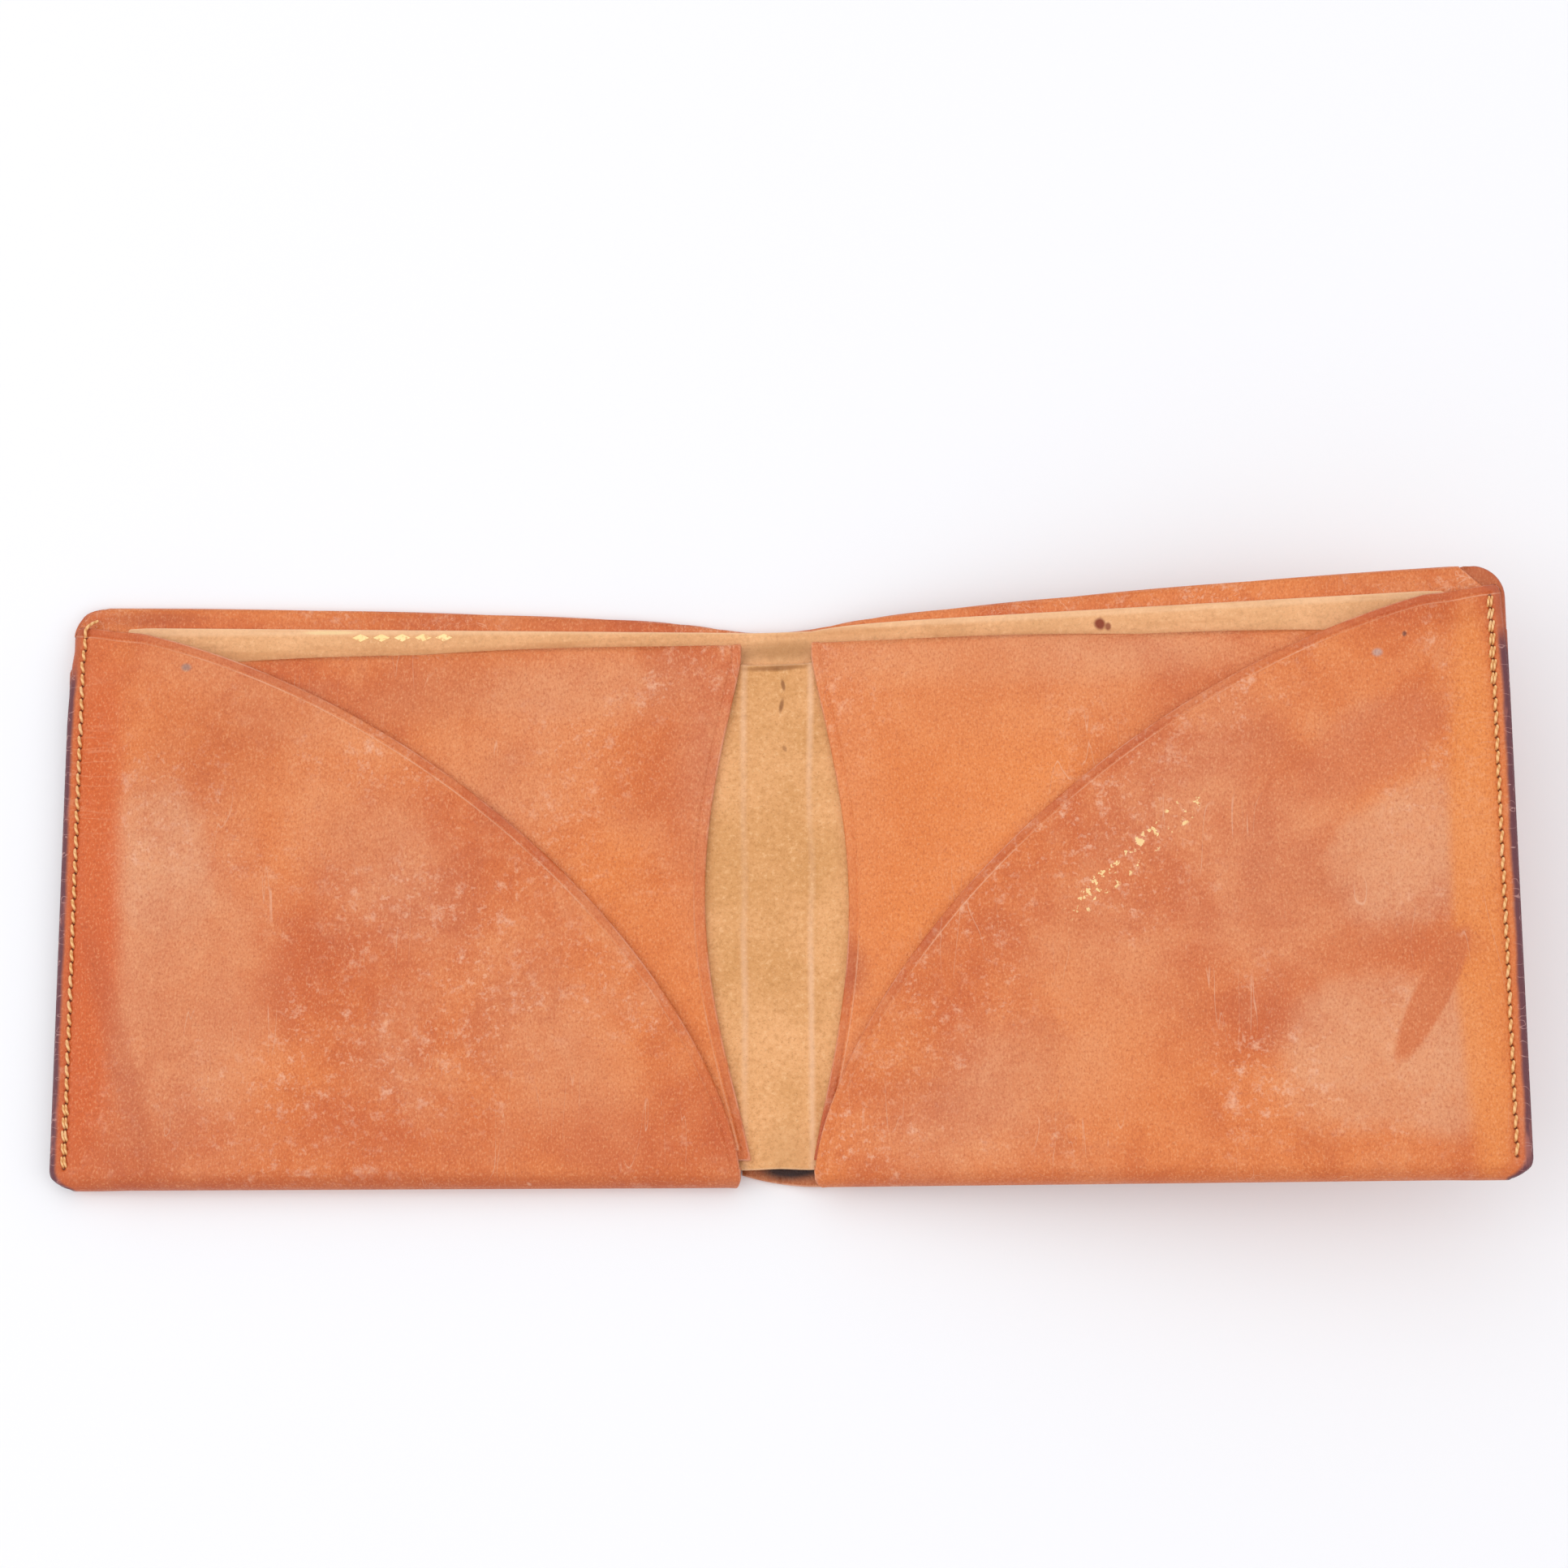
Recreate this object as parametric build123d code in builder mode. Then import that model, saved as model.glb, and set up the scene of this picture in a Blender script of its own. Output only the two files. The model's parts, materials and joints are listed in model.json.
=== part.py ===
"""A leather billfold lying open: two pocket leaves joined by a narrow spine.

Millimetres, +Z up. The left leaf lies flat on z = 0 and the right leaf stands open at a small
angle, because each of the two spine creases keeps a little of its fold. +X runs from the left leaf
to the right leaf, +Y towards the mouth of the note compartment. The origin is at the bottom centre
of the whole object's box.

In each leaf the distance u is measured outwards from its crease, v upwards from the bottom fold
and w inwards from the cover's outer face.
"""

import os
from math import cos, radians, sin, sqrt

from build123d import *

# overall
leaf_width = 110.0
leaf_height = 95.0
spine_width = 11.2
# angle in degrees that each crease keeps when the billfold is left open
crease_rest = 6.5

# leathers
cover_leather = 1.1
hem_leather = 0.8
tan_leather = 0.6
panel_leather = 0.8
panel_hem_leather = 0.6

# where each sheet lies over the middle of a leaf, above the cover's outer face
sheet_gap = 0.3
flap_gap = 0.2
divider_level = cover_leather + hem_leather
lining_level = divider_level + tan_leather + sheet_gap
panel_level = lining_level + tan_leather + sheet_gap
flap_level = panel_level + panel_leather + flap_gap
leaf_thickness = flap_level + cover_leather

# and where it lies in the sewn side seam, with the sheets pressed together
divider_seam_level = cover_leather
lining_seam_level = divider_seam_level + tan_leather
panel_seam_level = lining_seam_level + tan_leather
flap_seam_level = panel_seam_level + panel_leather
seam_thickness = flap_seam_level + cover_leather
seam_band = 7.0
seam_ramp = 7.0

# clearances at a crease: of the cover, of the sheets over the spine, of the sheets in a leaf
cover_clearance = 0.1
spine_clearance = 0.4
sheet_clearance = 1.2

# edges of the sheets
top_corner = 5.5
bottom_corner = 4.5
small_corner = 1.2
spine_dip = 3.4
hem_depth = 11.0
hem_corner_cut = 7.0
hem_divider_gap = 0.3
divider_step = 4.0
fold_leg = 6.0
divider_bottom = 2.4
lining_bottom = 2.8
panel_bottom = 4.3

# pocket flap: one long full curve from its top corner down to the crease
flap_step = 4.0
flap_top_fullness = 0.454
flap_crease_fullness = 0.245

# card panel: a turned top edge that slopes, and a hollowed edge beside the spine
panel_step = 2.4
panel_slope = 4.2
panel_hem_depth = 3.2
panel_hem_clearance = 0.15
panel_hollow = 6.4

# saddle-stitched side seam
seam_inset = 2.3
stitch_pitch = 2.05
stitch_start = 3.5
stitch_end_margin = 1.6
thread_diameter = 0.44
thread_spacing = 0.48
thread_bend = 0.3
awl_hole_diameter = 1.05
groove_width = 1.1
groove_depth = 0.5
tail_rise = 1.1
tail_length = 3.6

# stamped foil ornament on the divider: a row of small lozenges
foil_place = 56.0
foil_below_top = 1.5
foil_count = 5
foil_pitch = 3.4
foil_length = 2.8
foil_width = 1.3
foil_thickness = 0.06

# places that follow from the sizes above
divider_top = leaf_height - divider_step
flap_top = leaf_height - flap_step
panel_top = divider_top - panel_step
lining_top = panel_top - panel_hem_depth - panel_hem_clearance
spine_top = leaf_height - spine_dip
seam_start = leaf_width - seam_band
ramp_start = seam_start - seam_ramp
stitch_line = leaf_width - seam_inset
stitch_count = int((flap_top - stitch_end_margin - stitch_start) / stitch_pitch) + 1
stitch_places = [stitch_start + number * stitch_pitch for number in range(stitch_count)]

spine_angle = radians(crease_rest)
leaf_angle = 2 * spine_angle
right_reach = spine_width * cos(spine_angle) + leaf_width * cos(leaf_angle) + cover_leather * sin(leaf_angle)
left_crease = (leaf_width - right_reach) / 2
left_pivot = Vector(left_crease, -leaf_height / 2, cover_leather)
right_pivot = left_pivot + Vector(cos(spine_angle), 0, sin(spine_angle)) * spine_width


def outer_face(pivot, angle):
    """Plane of a cover's outer face, tilted by angle about the crease that runs through pivot."""
    along = Vector(cos(angle), 0, sin(angle))
    inwards = Vector(-sin(angle), 0, cos(angle))
    return Plane(origin=pivot - inwards * cover_leather, x_dir=along, z_dir=inwards)


def section_at(face, distance):
    """Plane across a leaf, in v and w, at a signed distance along the face."""
    return Plane(origin=face.origin + face.x_dir * distance, x_dir=(0, 1, 0), z_dir=face.x_dir)


def end_view(face):
    """Plane seen from a leaf's bottom, in u and w."""
    return Plane(origin=face.origin, x_dir=face.x_dir, z_dir=(0, -1, 0))


def cut_outline():
    """Keep only what lies inside the pending outline, over the whole thickness of a leaf."""
    extrude(amount=2 * leaf_thickness, both=True, mode=Mode.INTERSECT)


def round_corner(outline, point, radius):
    """Round the corner of an outline that lies at a point of its own plane."""
    fillet(outline.vertices().sort_by_distance(Vector(*point))[0], radius)


def sheet_section(face, side, inner, level, seam_level, leather):
    """A sheet that is level over the leaf and drops into the side seam."""
    with BuildSketch(end_view(face)) as section:
        with BuildLine():
            Polyline(
                (side * inner, level),
                (side * ramp_start, level),
                (side * seam_start, seam_level),
                (side * leaf_width, seam_level),
                (side * leaf_width, seam_level + leather),
                (side * seam_start, seam_level + leather),
                (side * ramp_start, level + leather),
                (side * inner, level + leather),
                close=True,
            )
        make_face()
    extrude(section.sketch, amount=-leaf_height)


def flat_sheet(face, low, high, level, leather):
    """A flat sheet between two distances along the face."""
    with BuildSketch(end_view(face)) as section:
        with Locations((low, level)):
            Rectangle(high - low, leather, align=(Align.MIN, Align.MIN))
    extrude(section.sketch, amount=-leaf_height)


def punch_seam(face, side):
    """Cut the row of awl holes through whatever has been made so far."""
    with BuildSketch(face) as holes:
        with Locations(*[(side * stitch_line, place) for place in stitch_places]):
            Circle(awl_hole_diameter / 2)
    extrude(holes.sketch, amount=2 * leaf_thickness, both=True, mode=Mode.SUBTRACT)


def cut_groove(face, side):
    """Cut the groove that takes the thread on the outer face."""
    length = stitch_places[-1] - stitch_places[0] + awl_hole_diameter
    with BuildSketch(face) as groove:
        with Locations((side * stitch_line, stitch_places[0] - awl_hole_diameter / 2)):
            Rectangle(groove_width, length, align=(Align.CENTER, Align.MIN))
    extrude(groove.sketch, amount=groove_depth, mode=Mode.SUBTRACT)


def arched_outline(side, bottom):
    """Outline of a leaf above a height, closed by the cover's arched top edge."""
    with BuildLine() as outline:
        Polyline(
            (0, spine_top),
            (0, bottom),
            (side * leaf_width, bottom),
            (side * leaf_width, leaf_height),
        )
        TangentArc((side * leaf_width, leaf_height), (0, spine_top), tangent=(-side, 0))
    return outline.edges()


def make_cover_back(face, side):
    """Outer leather of one leaf, from the bottom fold up to its arched top edge."""
    with BuildPart() as cover_back:
        sheet_section(face, side, cover_clearance, 0, 0, cover_leather)
        with BuildSketch(face) as outline:
            make_face(arched_outline(side, fold_leg))
            round_corner(outline, (side * leaf_width, leaf_height), top_corner)
        cut_outline()
        punch_seam(face, side)
        cut_groove(face, side)
    return cover_back


def make_top_hem(face, side):
    """The cover's top edge turned in, cut back on a slant before the side seam."""
    hem_bottom = spine_top - hem_depth
    over_divider = divider_top + hem_divider_gap
    slant = over_divider - hem_bottom
    cut_end = leaf_width - hem_corner_cut
    with BuildPart() as top_hem:
        sheet_section(face, side, sheet_clearance, cover_leather, cover_leather, hem_leather)
        with BuildSketch(face):
            make_face(arched_outline(side, hem_bottom))
        cut_outline()
        with BuildSketch(face):
            with BuildLine():
                Polyline(
                    (0, leaf_height),
                    (0, 0),
                    (side * (ramp_start - slant), hem_bottom),
                    (side * ramp_start, over_divider),
                    (side * cut_end, over_divider),
                    (side * (leaf_width - bottom_corner), leaf_height),
                    close=True,
                )
            make_face()
        cut_outline()
    return top_hem


def make_bottom_fold(face, side):
    """The cover's turn at the bottom, from the back round into the pocket flap."""
    stations = [(spine_clearance, leaf_thickness), (ramp_start, leaf_thickness)]
    stations += [(seam_start, seam_thickness), (leaf_width, seam_thickness)]
    with BuildPart() as bottom_fold:
        for place, thickness in stations:
            middle = thickness / 2
            with BuildSketch(section_at(face, side * place)):
                with BuildLine():
                    Line((fold_leg, 0), (middle, 0))
                    ThreePointArc((middle, 0), (0, middle), (middle, thickness))
                    Line((middle, thickness), (fold_leg, thickness))
                    Line((fold_leg, thickness), (fold_leg, thickness - cover_leather))
                    Line((fold_leg, thickness - cover_leather), (middle, thickness - cover_leather))
                    ThreePointArc(
                        (middle, thickness - cover_leather),
                        (cover_leather, middle),
                        (middle, cover_leather),
                    )
                    Line((middle, cover_leather), (fold_leg, cover_leather))
                    Line((fold_leg, cover_leather), (fold_leg, 0))
                make_face()
        loft(ruled=True)
        with BuildSketch(face) as outline:
            with Locations((side * leaf_width / 2, fold_leg / 2)):
                Rectangle(leaf_width, fold_leg)
            round_corner(outline, (side * leaf_width, 0), bottom_corner)
        cut_outline()
        punch_seam(face, side)
        cut_groove(face, side)
    return bottom_fold


def make_pocket_flap(face, side):
    """The cover's front flap, with its full diagonal edge."""
    crease_pull = fold_leg + flap_crease_fullness * (flap_top - fold_leg)
    with BuildPart() as pocket_flap:
        sheet_section(face, side, spine_clearance, flap_level, flap_seam_level, cover_leather)
        with BuildSketch(face) as outline:
            with BuildLine():
                Polyline(
                    (side * spine_clearance, fold_leg),
                    (side * leaf_width, fold_leg),
                    (side * leaf_width, flap_top),
                )
                Bezier(
                    (side * leaf_width, flap_top),
                    (side * leaf_width * (1 - flap_top_fullness), flap_top),
                    (side * spine_clearance, crease_pull),
                    (side * spine_clearance, fold_leg),
                )
            make_face()
            round_corner(outline, (side * leaf_width, flap_top), small_corner)
        cut_outline()
        punch_seam(face, side)
    return pocket_flap


def make_divider(face, side):
    """Tall tan sheet behind everything, the front wall of the note compartment."""
    with BuildPart() as divider:
        sheet_section(face, side, sheet_clearance, divider_level, divider_seam_level, tan_leather)
        with BuildSketch(face) as outline:
            with Locations((side * leaf_width / 2, (divider_bottom + divider_top) / 2)):
                Rectangle(leaf_width, divider_top - divider_bottom)
            round_corner(outline, (side * leaf_width, divider_top), small_corner)
            round_corner(outline, (side * leaf_width, divider_bottom), bottom_corner)
        cut_outline()
        punch_seam(face, side)
    return divider


def make_lining(face, side):
    """Lower tan sheet that backs the card pockets, ending below the panel's turned edge."""
    with BuildPart() as lining:
        sheet_section(face, side, sheet_clearance, lining_level, lining_seam_level, tan_leather)
        with BuildSketch(face) as outline:
            with BuildLine():
                Polyline(
                    (0, lining_bottom),
                    (side * leaf_width, lining_bottom),
                    (side * leaf_width, lining_top - panel_slope),
                    (0, lining_top),
                    close=True,
                )
            make_face()
            round_corner(outline, (side * leaf_width, lining_bottom), bottom_corner)
        cut_outline()
        punch_seam(face, side)
    return lining


def make_pocket_panel(face, side):
    """Card panel between lining and flap, with a hollowed edge beside the spine."""
    middle = (panel_bottom + panel_top) / 2
    with BuildPart() as pocket_panel:
        sheet_section(face, side, sheet_clearance, panel_level, panel_seam_level, panel_leather)
        with BuildSketch(face) as outline:
            with BuildLine():
                Polyline(
                    (side * sheet_clearance, panel_bottom),
                    (side * leaf_width, panel_bottom),
                    (side * leaf_width, panel_top - panel_slope),
                    (side * sheet_clearance, panel_top),
                )
                ThreePointArc(
                    (side * sheet_clearance, panel_top),
                    (side * panel_hollow, middle),
                    (side * sheet_clearance, panel_bottom),
                )
            make_face()
            round_corner(outline, (side * leaf_width, panel_bottom), bottom_corner)
        cut_outline()
        punch_seam(face, side)
    return pocket_panel


def make_panel_hem(face, side):
    """The card panel's top edge turned under, level with the lining in the seam."""
    level = panel_level - panel_hem_leather
    with BuildPart() as panel_hem:
        sheet_section(face, side, sheet_clearance, level, lining_seam_level, panel_hem_leather)
        with BuildSketch(face):
            with BuildLine():
                Polyline(
                    (side * 2 * sheet_clearance, panel_top - panel_hem_depth),
                    (side * leaf_width, panel_top - panel_slope - panel_hem_depth),
                    (side * leaf_width, panel_top - panel_slope),
                    (side * 2 * sheet_clearance, panel_top),
                    close=True,
                )
            make_face()
        cut_outline()
        punch_seam(face, side)
    return panel_hem


def thread_path(face, side, lean, first_up):
    """One of the two threads of a saddle stitch, running up the seam through every awl hole."""
    front = seam_thickness + thread_diameter / 2
    rear = groove_depth - thread_diameter / 2
    levels = [rear, front] if first_up else [front, rear]
    points = []
    for number, place in enumerate(stitch_places):
        points += [(place, levels[number % 2]), (place, levels[(number + 1) % 2])]
    plane = section_at(face, side * (stitch_line + lean * thread_spacing / 2))
    with BuildLine(plane) as path:
        FilletPolyline(*points, radius=thread_bend)
    return path.line


def make_seam_thread(face, side):
    """Both threads of one side seam."""
    with BuildPart() as seam_thread:
        for lean, first_up in ((-1, True), (1, False)):
            path = thread_path(face, side, lean, first_up)
            with BuildSketch(Plane(path @ 0, z_dir=path % 0)):
                Circle(thread_diameter / 2)
            sweep(path=path)
    return seam_thread


def make_spine_sheet(face, clearance, bottom, top, level, leather):
    """A sheet over the spine, between its two creases."""
    with BuildPart() as spine_sheet:
        flat_sheet(face, clearance, spine_width - clearance, level, leather)
        with BuildSketch(face):
            with Locations((spine_width / 2, (bottom + top) / 2)):
                Rectangle(spine_width, top - bottom)
        cut_outline()
    return spine_sheet


left_face = outer_face(left_pivot, 0)
spine_face = outer_face(left_pivot, spine_angle)
right_face = outer_face(right_pivot, leaf_angle)

nodes = {}
for name, face, side in (("left", left_face, -1), ("right", right_face, 1)):
    nodes[f"{name}_cover_back"] = make_cover_back(face, side)
    nodes[f"{name}_top_hem"] = make_top_hem(face, side)
    nodes[f"{name}_bottom_fold"] = make_bottom_fold(face, side)
    nodes[f"{name}_pocket_flap"] = make_pocket_flap(face, side)
    nodes[f"{name}_divider"] = make_divider(face, side)
    nodes[f"{name}_lining"] = make_lining(face, side)
    nodes[f"{name}_pocket_panel"] = make_pocket_panel(face, side)
    nodes[f"{name}_panel_hem"] = make_panel_hem(face, side)
    nodes[f"{name}_seam_thread"] = make_seam_thread(face, side)

nodes["spine_cover"] = make_spine_sheet(spine_face, cover_clearance, 0, spine_top, 0, cover_leather)
nodes["spine_top_hem"] = make_spine_sheet(
    spine_face, spine_clearance, spine_top - hem_depth, spine_top, cover_leather, hem_leather
)
nodes["spine_divider"] = make_spine_sheet(
    spine_face, spine_clearance, divider_bottom, divider_top, divider_level, tan_leather
)
nodes["spine_lining"] = make_spine_sheet(
    spine_face, spine_clearance, lining_bottom, lining_top, lining_level, tan_leather
)

# loose end of the left thread, lifted off the flap and curled over its top edge
with BuildPart() as left_thread_tail:
    tail_plane = section_at(left_face, -stitch_line)
    tail_base = seam_thickness + thread_diameter / 2 + sqrt(thread_diameter**2 - (thread_spacing / 2) ** 2)
    with BuildLine(tail_plane) as tail_path:
        Spline(
            (stitch_places[-1] - tail_length, tail_base),
            (flap_top - stitch_end_margin, tail_base + tail_rise),
            (flap_top + tail_rise, flap_seam_level + cover_leather / 2),
            tangents=((1, 0), (0, -1)),
        )
    with BuildSketch(Plane(tail_path.line @ 0, z_dir=tail_path.line % 0)):
        Circle(thread_diameter / 2)
    sweep(path=tail_path.line)
nodes["left_thread_tail"] = left_thread_tail

# stamped foil ornament on the left divider
with BuildPart() as foil_ornament:
    with BuildSketch(left_face.offset(divider_level + tan_leather)):
        with Locations((-foil_place, divider_top - foil_below_top)):
            with GridLocations(foil_pitch, foil_pitch, foil_count, 1):
                Polygon(
                    (-foil_length / 2, 0),
                    (0, -foil_width / 2),
                    (foil_length / 2, 0),
                    (0, foil_width / 2),
                )
    extrude(amount=foil_thickness)
nodes["foil_ornament"] = foil_ornament

os.makedirs("parts", exist_ok=True)
for name, node in nodes.items():
    node.part.label = name
    export_step(node.part, f"parts/{name}.step")
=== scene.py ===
import json
import math
import random

import bpy
import numpy as np
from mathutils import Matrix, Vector
from mathutils.geometry import delaunay_2d_cdt


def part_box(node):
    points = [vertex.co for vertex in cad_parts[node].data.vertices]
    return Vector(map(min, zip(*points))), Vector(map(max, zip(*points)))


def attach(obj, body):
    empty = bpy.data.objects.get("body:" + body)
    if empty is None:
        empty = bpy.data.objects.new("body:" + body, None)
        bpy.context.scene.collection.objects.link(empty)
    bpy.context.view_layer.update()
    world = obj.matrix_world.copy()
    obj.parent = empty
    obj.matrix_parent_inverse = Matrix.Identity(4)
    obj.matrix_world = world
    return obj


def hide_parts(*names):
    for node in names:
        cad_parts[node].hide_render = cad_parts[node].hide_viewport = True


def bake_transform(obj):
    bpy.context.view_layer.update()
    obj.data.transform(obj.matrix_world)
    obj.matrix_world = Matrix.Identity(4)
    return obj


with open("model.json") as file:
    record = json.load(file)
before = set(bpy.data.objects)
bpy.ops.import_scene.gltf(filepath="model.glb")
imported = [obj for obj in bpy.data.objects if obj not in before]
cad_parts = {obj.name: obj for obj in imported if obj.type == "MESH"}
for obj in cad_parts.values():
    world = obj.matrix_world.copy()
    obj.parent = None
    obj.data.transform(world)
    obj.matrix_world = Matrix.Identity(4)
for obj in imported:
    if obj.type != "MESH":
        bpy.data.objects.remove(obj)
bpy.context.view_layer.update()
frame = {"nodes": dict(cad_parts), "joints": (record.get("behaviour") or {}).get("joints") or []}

# ---------------------------------------------------------------- outer cover, back
# One hide of russet leather that makes the back of both leaves and of the spine. It lies on the
# bench with its flesh side up. Its two halves meet under the middle of the spine, where the flat
# leather hides the join, and each is shaped over its own crease.

mm = 0.001
creases = {joint["name"]: [c / mm for c in joint["pos_m"]] for joint in frame["joints"]}
left_crease, right_crease = creases["left_crease"], creases["right_crease"]
cover_box = [[c / mm for c in corner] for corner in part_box("left_cover_back")]
bottom_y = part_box("left_bottom_fold")[0][1] / mm
leaf_width = left_crease[0] - cover_box[0][0]
leaf_height = cover_box[1][1] - bottom_y
cover_leather = left_crease[2]
spine_rise = right_crease[2] - left_crease[2]
spine_run = right_crease[0] - left_crease[0]
spine_width = math.hypot(spine_rise, spine_run)
crease_turn = math.atan2(spine_rise, spine_run)
spine_middle = spine_width / 2
spine_dip = 3.4
fold_leg = 6.0
seam_start, ramp_start = leaf_width - 7.0, leaf_width - 14.0


def ease(t):
    t = np.clip(t, 0, 1)
    return t * t * (3 - 2 * t)


path_across = np.linspace(-leaf_width - 5, leaf_width + spine_width + 5, 2600)
path_turn = crease_turn * (ease((path_across + 2.2) / 4.4) + ease((path_across - spine_width + 2.2) / 4.4))
path_step = np.diff(path_across, prepend=path_across[0])
path_x = np.cumsum(np.cos(path_turn) * path_step)
path_z = np.cumsum(np.sin(path_turn) * path_step)
path_x += left_crease[0] - np.interp(0, path_across, path_x)
path_z += cover_leather - path_z[0]


def on_bench(across, up, over):
    """Places leather, in metres: across from the left crease, up from the bottom, over the outer face."""
    turn = np.interp(across, path_across, path_turn)
    height = over - cover_leather
    x = np.interp(across, path_across, path_x) - height * np.sin(turn)
    z = np.interp(across, path_across, path_z) + height * np.cos(turn)
    return np.stack([x, up + bottom_y + 0 * x, z], axis=-1) * mm


def outwards(across):
    """How far a place is out along its own leaf from its crease, and under 0 on the spine."""
    return np.where(across > spine_middle, across - spine_width, -across)


def pressed(across, level, seam_level):
    """A sheet's height, which drops where the side seam presses the sheets together."""
    return level + (seam_level - level) * ease((outwards(across) - ramp_start) / (seam_start - ramp_start))


def nearest(points, starts, ends):
    """Distance from each point to the nearest of some straight cuts."""
    best = np.full(len(points), 1e3)
    for first in range(0, len(points), 4000):
        p = points[first : first + 4000, None]
        d = ends - starts
        t = np.clip(((p - starts) * d).sum(2) / np.maximum((d * d).sum(1), 1e-12), 0, 1)
        best[first : first + 4000] = np.linalg.norm(p - starts - t[..., None] * d, axis=2).min(1)
    return best


def inside(points, outline):
    """Which points lie inside a closed outline."""
    a, b = outline, np.roll(outline, -1, axis=0)
    result = np.zeros(len(points), bool)
    for first in range(0, len(points), 4000):
        x, y = points[first : first + 4000, 0, None], points[first : first + 4000, 1, None]
        spans = (a[:, 1] > y) != (b[:, 1] > y)
        slope = (b[:, 0] - a[:, 0]) / np.where(b[:, 1] == a[:, 1], 1e-9, b[:, 1] - a[:, 1])
        result[first : first + 4000] = (spans & (x < a[:, 0] + (y - a[:, 1]) * slope)).sum(1) % 2 == 1
    return result


def run(*corners, step=0.8):
    """Points along straight runs between corners, without the last one."""
    points = []
    for a, b in zip(corners[:-1], corners[1:]):
        a, b = np.array(a, float), np.array(b, float)
        count = max(1, round(np.linalg.norm(b - a) / step))
        points += [a + (b - a) * k / count for k in range(count)]
    return np.array(points)


def cut_leather(name, edges, surface, thickness, grain_over=True, spacing=1.5, pricks=()):
    """A sheet of leather with thickness, rounded cut edges and embossed lines.

    edges is a list of (points, kind, rim, line) in order round the sheet: kind is "side", "cut" or
    "joined", rim the rounding of that edge, and line the distance of a line embossed along it.
    """
    outline = np.concatenate([points for points, kind, rim, line in edges])
    kinds = np.concatenate([[k] * len(points) for k, (points, kind, rim, line) in enumerate(edges)])
    x, y = outline.T
    if ((np.roll(x, -1) - x) * (np.roll(y, -1) + y)).sum() > 0:
        outline = outline[::-1]
        kinds = np.roll(kinds[::-1], -1)
    ends = np.roll(outline, -1, axis=0)
    along = ends - outline
    normals = np.stack([-along[:, 1], along[:, 0]], 1)
    normals /= np.maximum(np.linalg.norm(along, axis=1), 1e-9)[:, None]
    corner_normals = normals + np.roll(normals, 1, axis=0)
    corner_normals /= np.maximum(np.linalg.norm(corner_normals, axis=1), 1e-9)[:, None]

    rings = []
    for k, (points, kind, rim, line) in enumerate(edges):
        chosen = kinds == k
        offsets = [] if kind == "joined" else [rim * 0.15, rim * 0.4, rim * 0.75, rim * 1.1]
        if line:
            offsets += [line + s for s in (-0.55, -0.3, -0.14, 0, 0.14, 0.3, 0.55)]
        for offset in offsets:
            ring = outline[chosen] + corner_normals[chosen] * offset
            rings.append(ring[nearest(ring, outline, ends) > 0.93 * offset])
    for place in pricks:
        turn = np.arange(8) * math.pi / 4
        for radius in (0.2, 0.42, 0.6):
            rings.append(np.array(place) + radius * np.stack([np.cos(turn), np.sin(turn)], 1))
        rings.append(np.array([place], float))
    low, high = outline.min(0), outline.max(0)
    columns = np.arange(low[0], high[0], spacing)
    rows = np.arange(low[1], high[1], spacing * 0.866)
    grid = np.array([(x + (spacing / 2 if n % 2 else 0), y) for n, y in enumerate(rows) for x in columns])
    gap = nearest(grid, outline, ends)
    grid = grid[inside(grid, outline) & (gap > 0.5 * spacing)]
    if rings:
        rings = np.concatenate(rings)
        rings = rings[inside(rings, outline)]
        near = np.array([True] * len(grid))
        for first in range(0, len(grid), 2000):
            part = grid[first : first + 2000, None] - rings
            near[first : first + 2000] = (part * part).sum(2).min(1) > (0.45 * spacing) ** 2
        grid = np.concatenate([rings, grid[near]])
    flat = [Vector(p) for p in np.concatenate([outline, grid])]
    points, _, faces, *_ = delaunay_2d_cdt(flat, [], [list(range(len(outline)))], 1, 1e-4)
    points = np.array([tuple(p) for p in points])
    faces = np.array([f for f in faces if len(f) == 3])
    a, b, c = points[faces[:, 0]], points[faces[:, 1]], points[faces[:, 2]]
    clockwise = np.cross(b - a, c - a) < 0
    faces[clockwise] = faces[clockwise][:, ::-1]

    def distance_to(wanted):
        chosen = np.array([wanted(*edges[k][1:]) for k in kinds])
        if not chosen.any():
            return np.full(len(points), 50.0)
        return nearest(points, outline[chosen], ends[chosen])

    drop = np.zeros(len(points))
    for rim in {e[2] for e in edges if e[1] != "joined"}:
        d = np.clip(distance_to(lambda kind, r, line: kind != "joined" and r == rim), 0, rim)
        drop = np.maximum(drop, rim - np.sqrt(np.maximum(rim * rim - (rim - d) ** 2, 0)))
    drop = np.minimum(drop, thickness * 0.62)
    pressed_in = np.zeros(len(points))
    for line in {e[3] for e in edges if e[3]}:
        d = distance_to(lambda kind, r, l: l == line)
        pressed_in += 0.2 * np.exp(-(((d - line) / 0.2) ** 2))
        pressed_in -= 0.07 * np.exp(-(((d - line - 0.5) / 0.3) ** 2))
    for place in pricks:
        d = np.linalg.norm(points - np.array(place), axis=1)
        pressed_in += 0.5 * np.exp(-((d / 0.3) ** 2)) + 0.07 * np.exp(-((d / 0.9) ** 2))
    prick = np.full(len(points), 9.0)
    for place in pricks:
        prick = np.minimum(prick, np.linalg.norm(points - np.array(place), axis=1))
    side = distance_to(lambda kind, r, line: kind == "side")
    cut = distance_to(lambda kind, r, line: kind == "cut")

    def shape(p):
        h = 0.04
        at = surface(p[:, 0], p[:, 1])
        da = surface(p[:, 0] + h, p[:, 1]) - surface(p[:, 0] - h, p[:, 1])
        db = surface(p[:, 0], p[:, 1] + h) - surface(p[:, 0], p[:, 1] - h)
        normal = np.cross(da, db)
        return at, normal / np.linalg.norm(normal, axis=1)[:, None]

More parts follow.
